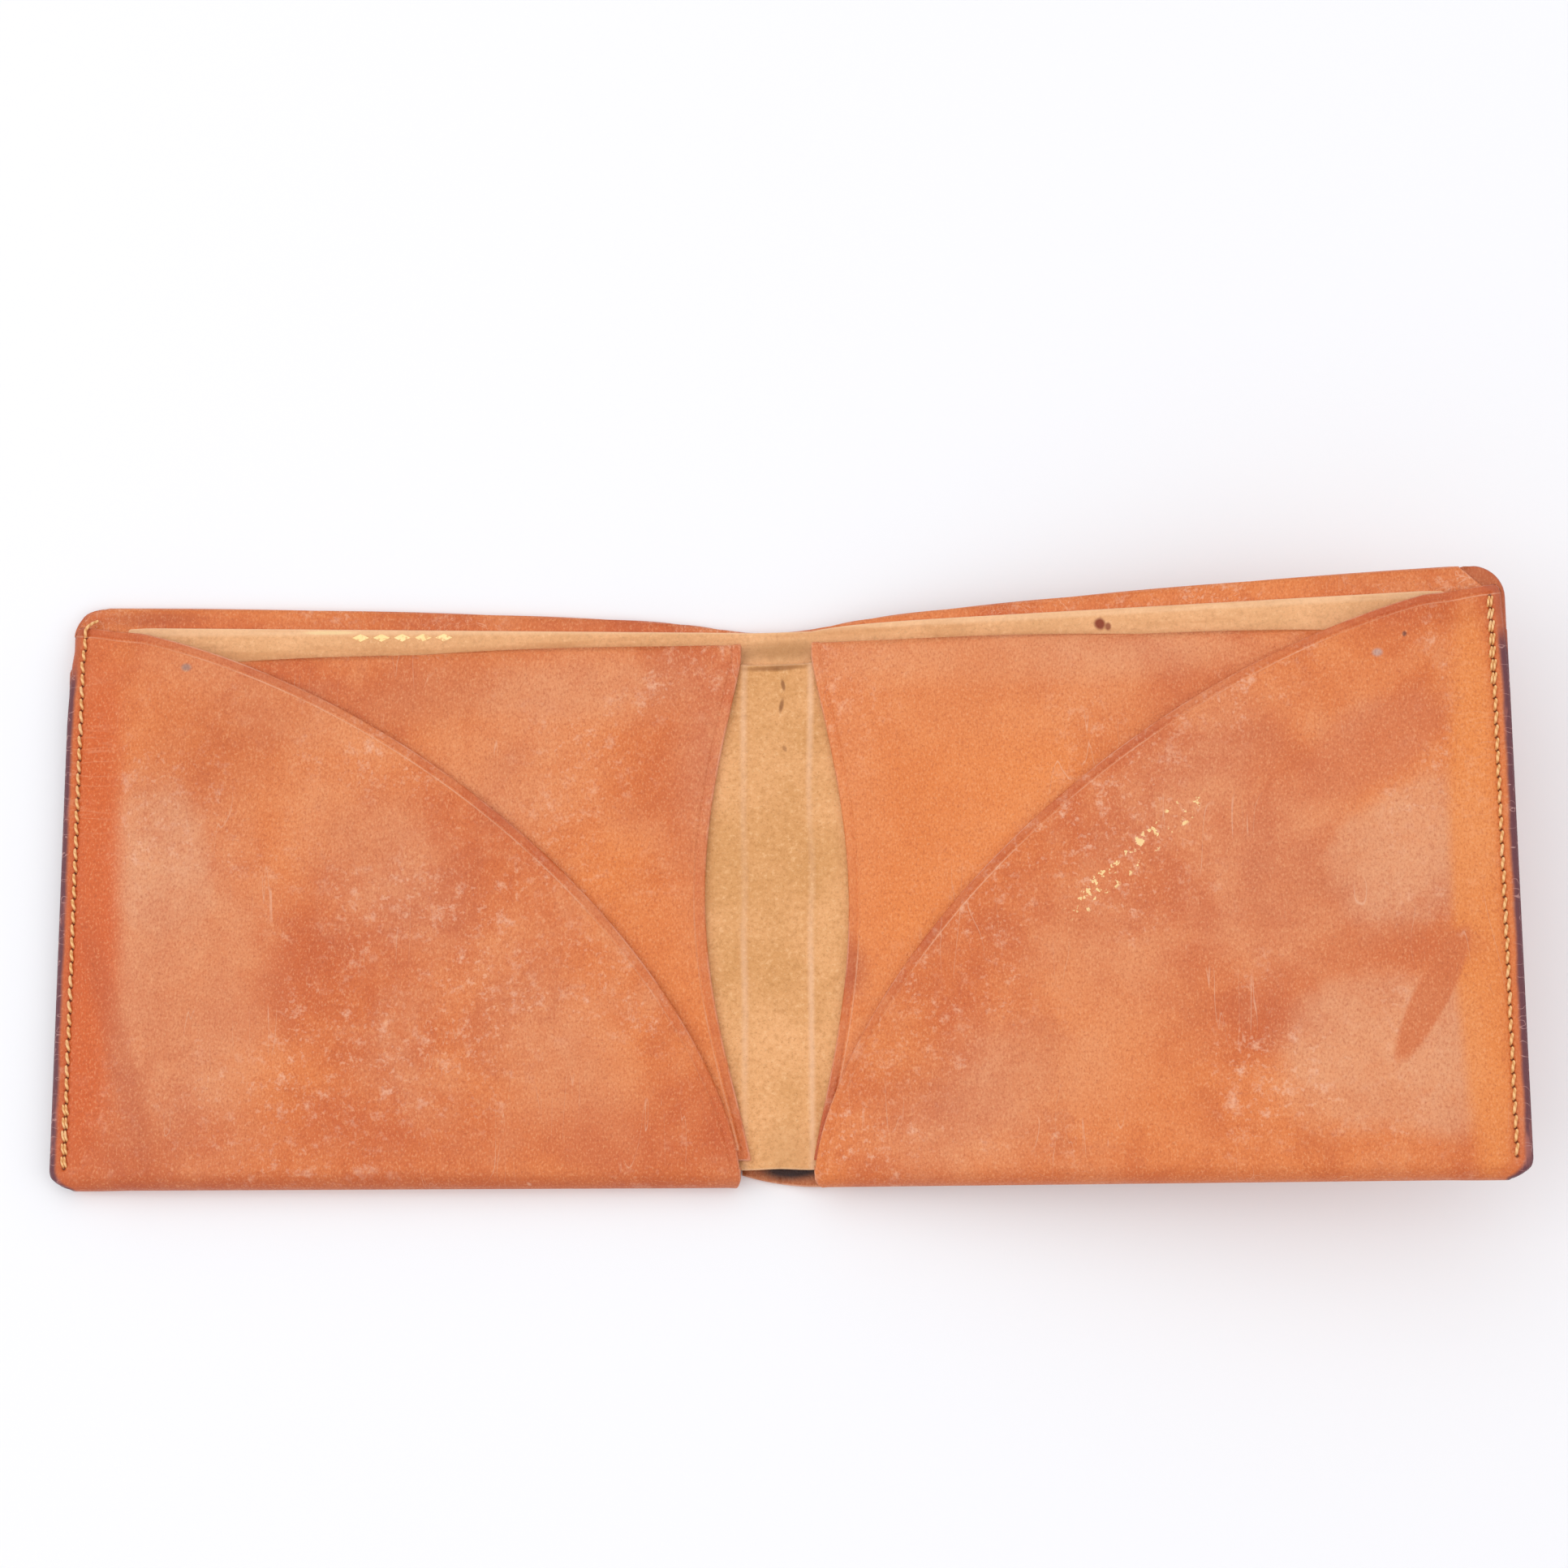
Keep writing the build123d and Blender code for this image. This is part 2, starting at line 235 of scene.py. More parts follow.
    at, normal = shape(points)
    over = at - normal * (drop + (pressed_in if grain_over else 0))[:, None] * mm
    under_drop = np.minimum(drop, thickness * 0.3)
    under = at - normal * (thickness - under_drop - (0 if grain_over else pressed_in))[:, None] * mm
    uses = {}
    for face in faces:
        for i in range(3):
            uses[(face[i], face[(i + 1) % 3])] = True
    rim_edges = [e for e in uses if (e[1], e[0]) not in uses]
    rim_points = sorted({v for e in rim_edges for v in e})
    slot_of = {v: i for i, v in enumerate(rim_points)}
    outside = np.zeros((len(rim_points), 2))
    for u, v in rim_edges:
        d = points[v] - points[u]
        push = np.array([d[1], -d[0]]) / max(np.linalg.norm(d), 1e-9)
        outside[slot_of[u]] += push
        outside[slot_of[v]] += push
    outside /= np.maximum(np.linalg.norm(outside, axis=1), 1e-9)[:, None]
    count, rim_count = len(points), len(rim_points)
    walls = []
    depth_over, depth_under = drop[rim_points], thickness - under_drop[rim_points]
    joined = np.minimum(side, cut)[rim_points] > 0.01
    for share in (0.33, 0.67):
        wall_at, wall_normal = shape(points[rim_points] + outside * 0.05 * ~joined[:, None])
        depth = depth_over + (depth_under - depth_over) * share
        walls.append(wall_at - wall_normal * depth[:, None] * mm)
    vertices = np.concatenate([over, under, *walls])
    polygons = [tuple(f) for f in faces] + [tuple(f[::-1] + count) for f in faces]
    for u, v in rim_edges:
        i, j = slot_of[u], slot_of[v]
        levels = [(u, v), (2 * count + i, 2 * count + j)]
        levels += [(2 * count + rim_count + i, 2 * count + rim_count + j), (count + u, count + v)]
        polygons += [(q[0], q[1], p[1], p[0]) for p, q in zip(levels[:-1], levels[1:])]
    mesh = bpy.data.meshes.new(name)
    mesh.from_pydata([tuple(v) for v in vertices], [], polygons)
    wall_side, wall_cut = side[rim_points], cut[rim_points]
    hide = np.concatenate([points, points, points[rim_points], points[rim_points]])
    flesh = np.concatenate([np.zeros(count), np.ones(count), np.full(2 * rim_count, 0.5)])
    if not grain_over:
        flesh = 1 - flesh
    for label, values in (
        ("side_edge", np.concatenate([side, side, wall_side, wall_side])),
        ("cut_edge", np.concatenate([cut, cut, wall_cut, wall_cut])),
        ("flesh", flesh),
        ("prick", np.concatenate([prick, np.full(count + 2 * rim_count, 9.0)])),
        ("across", hide[:, 0]),
        ("up", hide[:, 1]),
    ):
        mesh.attributes.new(label, "FLOAT", "POINT").data.foreach_set("value", values.astype(np.float32))
    mesh.polygons.foreach_set("use_smooth", [True] * len(mesh.polygons))
    square = np.zeros(len(vertices), bool)
    for layer in (0, count):
        square[np.array(rim_points)[joined] + layer] = True
    ends_of = np.zeros(len(mesh.edges) * 2, int)
    mesh.edges.foreach_get("vertices", ends_of)
    both = square[ends_of.reshape(-1, 2)].all(1)
    mesh.attributes.new("sharp_edge", "BOOLEAN", "EDGE").data.foreach_set("value", both)
    piece = bpy.data.objects.new(name, mesh)
    bpy.context.collection.objects.link(piece)
    return piece


def arch(across):
    """Height of the cover's top edge, which dips towards the spine in one long arc."""
    out = np.clip(outwards(across), 0, leaf_width)
    sag = 1.3 * np.exp(-(((np.asarray(across) - 4.5) / 12.0) ** 2))
    return leaf_height - spine_dip * (1 - out / leaf_width) ** 2 - sag


def curve(points_of, start, end, step=0.8):
    """Points along a curve given as a height over a stretch, without the last one."""
    count = max(1, round(abs(end - start) / step))
    x = np.linspace(start, end, count + 1)[:-1]
    return np.stack([x, points_of(x)], 1)


def corner_arc(centre, radius, start, end, step=8):
    """Points round a corner, from one bearing to another in degrees."""
    bearings = np.radians(np.linspace(start, end, max(3, round(abs(end - start) / step) + 1)))[:-1]
    return np.array(centre) + radius * np.stack([np.cos(bearings), np.sin(bearings)], 1)


def mirrored(edges):
    """The same edges for the other leaf, mirrored about the middle of the spine."""
    turned = []
    for points, kind, rim, line in edges:
        turned.append((np.stack([spine_width - points[:, 0], points[:, 1]], 1), kind, rim, line))
    return turned


def back_surface(across, up):
    gape = np.exp(-((np.clip(up, 0, 99) / 5.0) ** 2))
    gape = gape * np.exp(-(((across - spine_middle - 1.5) / 4.0) ** 2))
    return on_bench(across, up, cover_leather - 0.4 * gape + 0 * across)


top_corner = 5.2
hem_radius = 0.95
far = -leaf_width


def back_top(across):
    """The back stops inside the top fold, and comes up level with it before each corner."""
    return arch(across) - (hem_radius + 0.1) * (1 - 0.93 * ease((outwards(across) - leaf_width + 9.5) / 4))


def lip(across):
    """The cover's free bottom edge under the spine."""
    return 0.2 + 1.9 * np.clip((spine_width + 0.5 - across) / (spine_width + 1), 0, 1) ** 2


def cover_edges(lip_height):
    """Edges of the left half of the back."""
    middle_foot, end_foot = float(lip_height(spine_middle)), float(lip_height(-0.5))
    return [
        (curve(lip_height, spine_middle, -0.5, 0.5), "cut", 0.3, 0),
        (run((-0.5, end_foot), (-0.5, fold_leg), (far, fold_leg)), "joined", 0, 0),
        (run((far, fold_leg), (far, leaf_height - top_corner)), "side", 0.5, 0),
        (corner_arc((far + top_corner, leaf_height - top_corner), top_corner, 180, 92), "side", 0.5, 0),
        (curve(back_top, far + top_corner, spine_middle), "joined", 0, 0),
        (run((spine_middle, float(back_top(spine_middle))), (spine_middle, middle_foot)), "joined", 0, 0),
    ]


other_lip = lambda across: lip(spine_width - across)
cover_back_left, cover_back_right = (
    cut_leather(name, edges, back_surface, cover_leather, grain_over=False)
    for name, edges in (
        ("cover_back_left", cover_edges(lip)),
        ("cover_back_right", mirrored(cover_edges(other_lip))),
    )
)
leaf_reach, spine_reach = 1.6, 3.2


def bend_left(piece):
    start, end = on_bench(np.array([-leaf_reach, spine_reach]), 0, cover_leather)
    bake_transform(piece)


def bend_right(piece):
    start, end = on_bench(spine_width + np.array([-spine_reach, leaf_reach]), 0, cover_leather)
    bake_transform(piece)


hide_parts("left_cover_back", "spine_cover")
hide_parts("right_cover_back")
bend_left(cover_back_left)
bend_right(cover_back_right)

# ---------------------------------------------------------------- russet leather
# Vegetable-tanned hide, polished by years in a pocket: orange-brown, cloudy, with paler rubbed
# areas, pale patches of painted sheen, fine pores, small scuffs and hairline scratches. Side edges are dyed
# and burnished.


class Socket:
    """One output of a shader node, with arithmetic on it."""

    def __init__(self, dye, link):
        self.dye, self.link = dye, link

    def maths(self, operation, *others, flip=False):
        values = (*others, self) if flip else (self, *others)
        return self.dye.node("ShaderNodeMath", {"operation": operation}, *values)

    __add__ = __radd__ = lambda self, other: self.maths("ADD", other)
    __mul__ = __rmul__ = lambda self, other: self.maths("MULTIPLY", other)
    __sub__ = lambda self, other: self.maths("SUBTRACT", other)
    __rsub__ = lambda self, other: self.maths("SUBTRACT", other, flip=True)
    __truediv__ = lambda self, other: self.maths("DIVIDE", other)
    __pow__ = lambda self, other: self.maths("POWER", other)
    __abs__ = lambda self: self.maths("ABSOLUTE")


class Dye:
    """A material and the nodes that are added to it."""

    def __init__(self, name):
        self.material = bpy.data.materials.new(name)
        self.material.use_nodes = True
        self.tree = self.material.node_tree
        self.shader = self.tree.nodes["Principled BSDF"]

    def node(self, kind, settings, *inputs, output=0, **named):
        made = self.tree.nodes.new(kind)
        for key, value in settings.items():
            if key == "stops":
                ramp = made.color_ramp
                while len(ramp.elements) < len(value):
                    ramp.elements.new(0.5)
                for element, (place, colour) in zip(ramp.elements, value):
                    element.position, element.color = place, (*colour, 1)
            else:
                setattr(made, key, value)
        for socket, value in [*zip(made.inputs, inputs), *((made.inputs[k], v) for k, v in named.items())]:
            if isinstance(value, Socket):
                self.tree.links.new(value.link, socket)
            elif value is not None:
                socket.default_value = value
        return Socket(self, made.outputs[output])

    def value(self, name):
        return self.node("ShaderNodeAttribute", {"attribute_name": name}, output="Fac")

    def place(self):
        return self.node("ShaderNodeTexCoord", {}, output="Object")

    def noise(self, scale, detail=3.0, roughness=0.5, stretch=(1, 1, 1), shift=(0, 0, 0), distortion=0.0):
        where = self.node("ShaderNodeMapping", {}, self.place(), shift, (0, 0, 0), stretch)
        return self.node(
            "ShaderNodeTexNoise", {}, where,
            Scale=scale, Detail=detail, Roughness=roughness, Distortion=distortion, output="Fac",
        )

    def between(self, value, low, high, start=0.0, end=1.0):
        smooth = {"interpolation_type": "SMOOTHSTEP"}
        return self.node("ShaderNodeMapRange", smooth, value, low, high, start, end)

    def tint(self, share, below, above, blend="MIX"):
        made = self.tree.nodes.new("ShaderNodeMix")
        made.data_type, made.blend_type = "RGBA", blend
        for socket, value in ((made.inputs[0], share), (made.inputs[6], below), (made.inputs[7], above)):
            if isinstance(value, Socket):
                self.tree.links.new(value.link, socket)
            else:
                socket.default_value = value if isinstance(value, float) else (*value, 1)
        return Socket(self, made.outputs[2])

    def blot(self, centre, size, soft=0.5, turn=0.0, ragged=0.0, square=2.0):
        """A soft oval or rounded square in sheet millimetres, from 1 inside to 0 outside."""
        dx, dy = self.value("across") - centre[0], self.value("up") - centre[1]
        c, s = math.cos(turn), math.sin(turn)
        along, beside = (dx * c + dy * s) / size[0], (dy * c - dx * s) / size[1]
        reach = (abs(along) ** square + abs(beside) ** square) ** (1 / square)
        if ragged:
            reach = reach + (self.noise(160, 3) - 0.5) * ragged
        return self.between(reach, 1.0 - soft, 1.0 + soft, 1.0, 0.0)

    def finish(self, colour, roughness, height, depth, **fixed):
        self.tree.links.new(colour.link, self.shader.inputs["Base Color"])
        self.tree.links.new(roughness.link, self.shader.inputs["Roughness"])
        bump = self.node("ShaderNodeBump", {}, Strength=depth, Distance=0.0004, Height=height)
        self.tree.links.new(bump.link, self.shader.inputs["Normal"])
        for name, value in fixed.items():
            self.shader.inputs[name.replace("_", " ")].default_value = value
        return self.material


def russet_leather(
    name, sheen_and_rubbing=(), stains_and_shade=(), shift=0.0, line=None, edge_band=0.5, foil=None, wrinkled=0.0, hollow=None
):
    """Russet leather with pale patches, partly rubbed and partly painted sheen, and darker marks, some of
    them painted shade, at the given places of the sheet.

    sheen_and_rubbing: (centre, size, strength, softness, turn, squareness), pale patches of rubbed wear and
    of painted sheen. stains_and_shade: the same with a colour last, stains and some painted shade.
    line: inset of the pressed line, and the heights where it is faint and clear; a pale line is painted
    beside it as its highlight.
    """
    dye = Dye(name)
    at = (shift, shift * 0.7, 0)
    between, tint = dye.between, dye.tint
    noise = lambda *scale, **more: dye.noise(*scale, shift=at, **more)
    side, cut, flesh, up = (dye.value(label) for label in ("side_edge", "cut_edge", "flesh", "up"))
    clouds = noise(26, 4, 0.55)
    mottle = noise(95, 5, 0.62, distortion=0.4)
    speckle = noise(620, 4, 0.7)
    pores = noise(2300, 3, 0.6)
    grain = noise(3400, 2, 0.55, stretch=(1, 0.6, 1))
    base = tint(between(clouds, 0.34, 0.66), (0.60, 0.122, 0.023), (0.74, 0.205, 0.046))
    base = tint(between(mottle, 0.42, 0.7) * 0.5, base, (0.79, 0.27, 0.088))
    base = tint(between(mottle, 0.5, 0.28) * 0.4, base, (0.5, 0.088, 0.018))

    rubbed = between(noise(44, 5, 0.7), 0.5, 0.72) * 0.45
    pale = rubbed
    # The listed pale patches are partly rubbed wear and partly painted sheen, a hazy highlight on the
    # polished face.
    for centre, size, strength, soft, turn, square in sheen_and_rubbing:
        patch = dye.blot(centre, size, soft, turn, 0.4, square) * strength
        pale = pale.maths("MAXIMUM", patch)
    pale = pale * between(speckle, 0.25, 0.75, 0.7, 1.0) * between(mottle, 0.35, 0.6, 0.72, 1.0)
    base = tint(pale * 0.85, base, (0.75, 0.355, 0.185))
    clusters = between(noise(36, 3, 0.6), 0.43, 0.62)
    worn = between(noise(380, 5, 0.72), 0.52, 0.72) * clusters
    base = tint(worn * 0.75, base, (0.86, 0.46, 0.29))
    flecks = between(noise(1150, 2, 0.5), 0.6, 0.7) * clusters
    base = tint(flecks * 0.35, base, (0.87, 0.5, 0.33))

    raw = between(flesh, 0.4, 0.5) * between(side, 0.2, 0.6)
    raw_colour = tint(between(mottle, 0.3, 0.7), (0.36, 0.1, 0.03), (0.5, 0.165, 0.06))
    base = tint(raw * 0.75, base, raw_colour)
    # Stains, and on the flaps also painted shade and a painted shadow.
    for centre, size, strength, soft, turn, colour in stains_and_shade:
        base = tint(dye.blot(centre, size, soft, turn, 0.2) * strength, base, colour)
    base = tint(between(grain, 0.5, 0.3) * 0.34, base, (0.42, 0.075, 0.014))
    base = tint(between(grain, 0.52, 0.72) * 0.3, base, (0.92, 0.46, 0.22))
    base = tint(between(pores, 0.46, 0.28) * 0.3, base, (0.36, 0.065, 0.014))
    scratch = abs(noise(150, 2, 0.5, stretch=(1, 0.12, 1), distortion=1.2) - 0.5)
    scratch = between(scratch, 0.006, 0.0) * between(noise(60, 2), 0.56, 0.64)
    base = tint(scratch * 0.4, base, (0.88, 0.52, 0.34))
    if foil:
        centre, size, turn, colour = foil
        row = dye.blot(centre, size, 0.12, turn, 0.1, 5.0)
        left_over = row * between(noise(760, 3, 0.6), 0.585, 0.61)
        base = tint(left_over * 0.9, base, colour)

    wander = (noise(120, 4, 0.6) - 0.5) * 1.6
    base = tint(between(side + wander, 4.5, 1.0) * 0.35, base, (0.56, 0.105, 0.024))
    if line:
        inset, faint, clear = line
        shown = between(up, faint, clear)
        band = between(cut, inset + 0.05, inset - 0.25) * shown
        base = tint(band * between(mottle, 0.3, 0.6, 0.5, 0.3), base, (0.47, 0.082, 0.022))
        # Painted highlight: a pale line just inside the pressed line, where its edge would catch the light.
        line_highlight = between(abs(cut - inset - 0.22), 0.2, 0.03)
        line_highlight = line_highlight * between(noise(60, 3), 0.35, 0.6, 0.3, 1.0)
        base = tint(line_highlight * shown * 0.5, base, (0.92, 0.52, 0.33))
    # A patchy pale line along the cut edges.
    pale_cut_edge = between(cut, 0.3, 0.04) * between(noise(90, 4, 0.7), 0.4, 0.62)
    base = tint(pale_cut_edge * 0.6, base, (0.86, 0.46, 0.31))

    pulled = abs(noise(430, 2, 0.5, stretch=(0.12, 1, 1)) - 0.5)
    pulled = between(pulled, 0.03, 0.0) * between(side, 11.0, 4.0) * between(clouds, 0.45, 0.65)
    base = tint(pulled * 0.2, base, (0.88, 0.46, 0.26))
    if wrinkled:
        wrinkle = abs(noise(240, 3, 0.6, distortion=2.2) - 0.5)
        wrinkle = between(wrinkle, 0.016, 0.0) * between(noise(48, 3), 0.47, 0.6)
        base = tint(wrinkle * wrinkled, base, (0.86, 0.47, 0.3))
    # Painted shade: near-black inside the stitch holes.
    base = tint(between(dye.value("prick"), 0.36, 0.12) * 0.75, base, (0.13, 0.035, 0.018))

    # Painted shade: a near-black blot on the flesh side under the lining, where the hollow lies in shadow.
    if hollow:
        centre, size = hollow
        shaded = dye.blot(centre, size, 0.45, 0.0, 0.2) * between(flesh, 0.6, 0.9)
        base = tint(shaded, base, (0.035, 0.01, 0.006))

    burnished = between(side + wander * 0.4, edge_band + 0.4, edge_band - 0.35)
    dark_part = between(up + wander * 3.0, 86.5, 80.0)
    chafed = between(noise(210, 4, 0.7, stretch=(1, 0.25, 1)), 0.54, 0.64)
    nicks = between(abs(noise(420, 2, 0.5, stretch=(0.25, 1, 1)) - 0.5), 0.012, 0.0)
    edge_colour = tint(chafed * 0.6, (0.135, 0.034, 0.042), (0.44, 0.14, 0.105))
    edge_colour = tint(nicks * 0.6, edge_colour, (0.62, 0.34, 0.3))
    edge_colour = tint(dark_part, (0.4, 0.085, 0.035), edge_colour)
    base = tint(burnished * between(dark_part, 0, 1, 0.6, 1.0), base, edge_colour)

    rough = between(clouds, 0.3, 0.7, 0.4, 0.5) + pale * 0.14
    rough = rough + between(speckle, 0.3, 0.7) * 0.08 - burnished * 0.1
    cells = dye.node(
        "ShaderNodeTexVoronoi", {"feature": "DISTANCE_TO_EDGE"},
        dye.node("ShaderNodeMapping", {}, dye.place(), at), Scale=1350.0, output="Distance",
    )
    height = between(cells, 0.0, 0.18) * 0.35 + pores * 0.4 + grain * 0.3
    height = height + speckle * 0.5 - scratch * 0.5 + mottle * 0.6
    polish = {"Coat_Weight": 0.08, "Coat_Roughness": 0.3, "Specular_IOR_Level": 0.36}
    return dye.finish(base, rough, height, 0.34, **polish)


left_rubbing = [((-60, 40), (30, 26), 0.4, 0.5, 0.4, 2.0), ((-52, 48), (44, 30), 0.3, 0.15, 0.0, 7.0)]
right_rubbing = [((70, 55), (32, 24), 0.4, 0.5, 0.2, 2.0), ((64, 46), (42, 31), 0.3, 0.15, 0.0, 7.0)]
# Painted shade: where the back's flesh side lies in the hollow under the lining.
shade_under_lining = ((spine_middle + 1.9, 3.0), (5.0, 1.6))
for piece, sheen_and_rubbing in ((cover_back_left, left_rubbing), (cover_back_right, right_rubbing)):
    dyed = russet_leather(f"russet_{piece.name}", sheen_and_rubbing, shift=0.31, edge_band=0.35, hollow=shade_under_lining)
    piece.data.materials.append(dyed)

# ---------------------------------------------------------------- turned top edge
# The cover's top edge, skived and turned in over the mouth of the note compartment. It is glued
# down behind the divider, and cut back on a slant before the right seam.

hem_leather = 0.85
hem_bottom = leaf_height - spine_dip - 11.0
hem_end = 90.1


def hem_surface(across, run_up):
    """The turned edge: run_up is the height on the inner face, and goes on round the top."""
    top = arch(across) - hem_radius
    beyond = np.clip(run_up - top, 0, None)
    turn = np.clip(beyond / hem_radius, 0, math.pi)
    down = np.clip(beyond - math.pi * hem_radius, 0, None)
    up = np.where(beyond > 0, top + hem_radius * np.sin(turn) - down, run_up)
    over = hem_radius * (1 + np.cos(turn))
    out = outwards(across)
    skived = 0.3 * ease((out - leaf_width + 7) / 6) * (beyond <= 0)
    puckers = 0.09 * np.sin(out * 2.3 + run_up * 1.1) * ease((out - leaf_width + 16) / 12)
    puckers = puckers * ease((top - run_up) / 1.5)
    return on_bench(across, up, over - skived * ease((top - run_up) / 1.2) + puckers)


hem_top = lambda across: arch(across) - hem_radius + math.pi * hem_radius + 0.1


def hem_edges(end):
    """Edges of the left turned edge. end is how its outer end runs: its points and their kind."""
    points, kind = end
    last = float(points[-1, 0])
    lower = run((spine_middle, hem_bottom), (-96, hem_bottom), (-101.5, hem_end), tuple(points[0]))
    return [
        (lower, "cut", 0.2, 0),
        (points[:-1], kind, 0.2, 0),
        (curve(hem_top, last, spine_middle), "joined", 0, 0),
        (run((spine_middle, float(hem_top(spine_middle))), (spine_middle, hem_bottom)), "joined", 0, 0),
    ]


hem_corner = corner_arc((far + top_corner, leaf_height - top_corner), top_corner - 0.12, 176, 96)
round_end, slant_end = ((far + inset, float(hem_top(far + inset))) for inset in (top_corner + 0.5, 7.4))
rounded = np.concatenate([[(far + 0.12, hem_end)], hem_corner, [round_end]])
mitred = np.concatenate([run((far + 2.0, hem_end), (far + 6.4, leaf_height - 0.6), slant_end), [slant_end]])
hem_marks = [
    ((-99, 93), (9, 1.2), 0.5, 0.6, 0, (0.42, 0.075, 0.02)),
    ((-40, 92), (40, 1.0), 0.25, 0.8, 0, (0.5, 0.1, 0.028)),
]
for name, edges, bend, nodes in (
    ("turned_edge_left", hem_edges((rounded, "side")), bend_left, ("left_top_hem", "spine_top_hem")),
    ("turned_edge_right", mirrored(hem_edges((mitred, "cut"))), bend_right, ("right_top_hem",)),
):
    piece = cut_leather(name, edges, hem_surface, hem_leather, spacing=1.0)
    dyed = russet_leather(f"russet_{name}", [], hem_marks, shift=0.77, edge_band=0.3, wrinkled=0.5)
    piece.data.materials.append(dyed)
    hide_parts(*nodes)
    bend(piece)

# ---------------------------------------------------------------- divider
# A tall sheet of natural tan leather, the front wall of the note compartment, caught in both side
# seams. Its top edge is turned back and round, and a pale band is painted along it as the highlight on the
# round.

divider_top, divider_bottom = leaf_height - 4.0, 3.4
tan_leather = 0.6
sheet_corner = 4.5
divider_level = cover_leather + 0.8


def tan_hide(name, marks=(), shift=0.0, top=None, ridge_highlights=False):
    """Undyed leather with a short nap: fine dark specks, faint clouds, and pale lines painted along the
    spine creases as highlights on their ridges.
    """
    dye = Dye(name)
    between, tint, noise = dye.between, dye.tint, dye.noise
    at = (shift, shift * 0.6, 0)
    clouds, nap = noise(55, 4, 0.6, shift=at), noise(1150, 4, 0.7, shift=at)
    fine = noise(2900, 3, 0.65, shift=at)
    base = tint(between(clouds, 0.32, 0.68), (0.68, 0.325, 0.112), (0.84, 0.425, 0.178))
    base = tint(between(nap, 0.52, 0.32) * 0.5, base, (0.52, 0.225, 0.062))
    base = tint(between(nap, 0.52, 0.7) * 0.5, base, (0.93, 0.56, 0.28))
    base = tint(between(fine, 0.45, 0.28) * 0.45, base, (0.38, 0.16, 0.045))
    base = tint(between(fine, 0.56, 0.74) * 0.3, base, (0.96, 0.66, 0.38))
    if top is not None:
        # Painted highlight: a pale band along the rounded top edge.
        base = tint(between(dye.value("up"), top - 1.4, top - 0.7) * 0.4, base, (0.95, 0.64, 0.38))
        base = tint(0.22, base, (0.97, 0.58, 0.34))
        streaks = between(noise(70, 4, 0.65, stretch=(0.3, 3, 1), shift=at), 0.52, 0.66)
        base = tint(streaks * 0.4, base, (0.6, 0.25, 0.085))
    # Painted highlight: pale lines along the spine creases, where the raised ridges of the lining catch the
    # light.
    if ridge_highlights:
        for crease in (0.0, spine_width):
            near = abs(dye.value("across") + (noise(60, 3) - 0.5) * 1.4 - crease)
            kept = between(noise(50, 3, stretch=(1, 0.5, 1)), 0.35, 0.65, 0.35, 1.0)
            base = tint(between(near, 0.95, 0.05) * kept * 0.4, base, (0.93, 0.6, 0.4))
    for centre, size, strength, soft, turn, colour in marks:
        base = tint(dye.blot(centre, size, soft, turn, 0.9) * strength, base, colour)
    base = tint(between(dye.value("cut_edge"), 0.35, 0.0) * 0.4, base, (0.9, 0.58, 0.34))
    base = tint(between(dye.value("side_edge"), 0.6, 0.2), base, (0.12, 0.034, 0.03))
    rough = between(nap, 0.3, 0.7, 0.6, 0.8)
    return dye.finish(base, rough, nap * 0.7 + fine * 0.5, 0.45, Specular_IOR_Level=0.3, Sheen_Weight=0.1)


def tall_edges(top, bottom):
    """Edges of a sheet that crosses the whole billfold, for its left half."""
    foot = lambda x: bottom + 0.2 * np.exp(-(((x - spine_middle) / 3.2) ** 2))
    neck = far + 1.3
    return [
        (curve(foot, spine_middle, far + sheet_corner), "cut", 0.2, 0),
        (corner_arc((far + sheet_corner, bottom + sheet_corner), sheet_corner, 270, 180), "side", 0.2, 0),
        (run((far, bottom + sheet_corner), (far, 80), (neck, 87), (neck, float(top(far)))), "side", 0.2, 0),
        (curve(top, neck, spine_middle), "cut", 0.28, 0),
        (run((spine_middle, float(top(spine_middle))), (spine_middle, bottom + 0.2)), "joined", 0, 0),
    ]


def divider_surface(across, up):
    return on_bench(across, up, pressed(across, divider_level, cover_leather) + tan_leather)


def left_divider_top(across):
    """The top edge of its left half, which falls a little towards the spine."""
    return divider_top - 0.9 + 1.4 * np.clip(-across / leaf_width, 0, 1) - 0.1 * ease((across + 4) / 8)


def right_divider_top(across):
    """The top edge of its right half, in the left half's terms."""
    return divider_top - 1.0 * np.exp(-np.clip(-across, 0, 99) / 6.0)


divider_edges = tall_edges(left_divider_top, divider_bottom), tall_edges(right_divider_top, divider_bottom)
blot_brown = (0.24, 0.035, 0.012)
divider_marks = [
    ((spine_width + 47.3, 88.6), (0.9, 1.0), 0.95, 0.35, 0.3, blot_brown),
    ((spine_width + 48.6, 88.1), (0.5, 0.7), 0.8, 0.4, 0.0, blot_brown),
    ((5, 86.8), (6.5, 1.5), 0.6, 0.7, 0.0, (0.36, 0.15, 0.04)),
    ((-68, 90.4), (3.8, 0.3), 0.7, 0.3, 0.0, (0.9, 0.66, 0.33)),
]


def worn_foil(name):
    """Gold leaf pressed into the tan hide, rubbed through in places."""
    dye = Dye(name)
    rubbed = dye.between(dye.noise(1500, 3, 0.6), 0.56, 0.62)
    gold = dye.tint(dye.noise(400), (0.86, 0.55, 0.2), (0.97, 0.76, 0.4))
    base = dye.tint(rubbed * 0.8, gold, (0.8, 0.42, 0.17))
    dye.tree.links.new((0.75 - rubbed * 0.75).link, dye.shader.inputs["Metallic"])
    return dye.finish(base, dye.between(rubbed, 0, 1, 0.34, 0.6), dye.noise(2600, 2), 0.3)


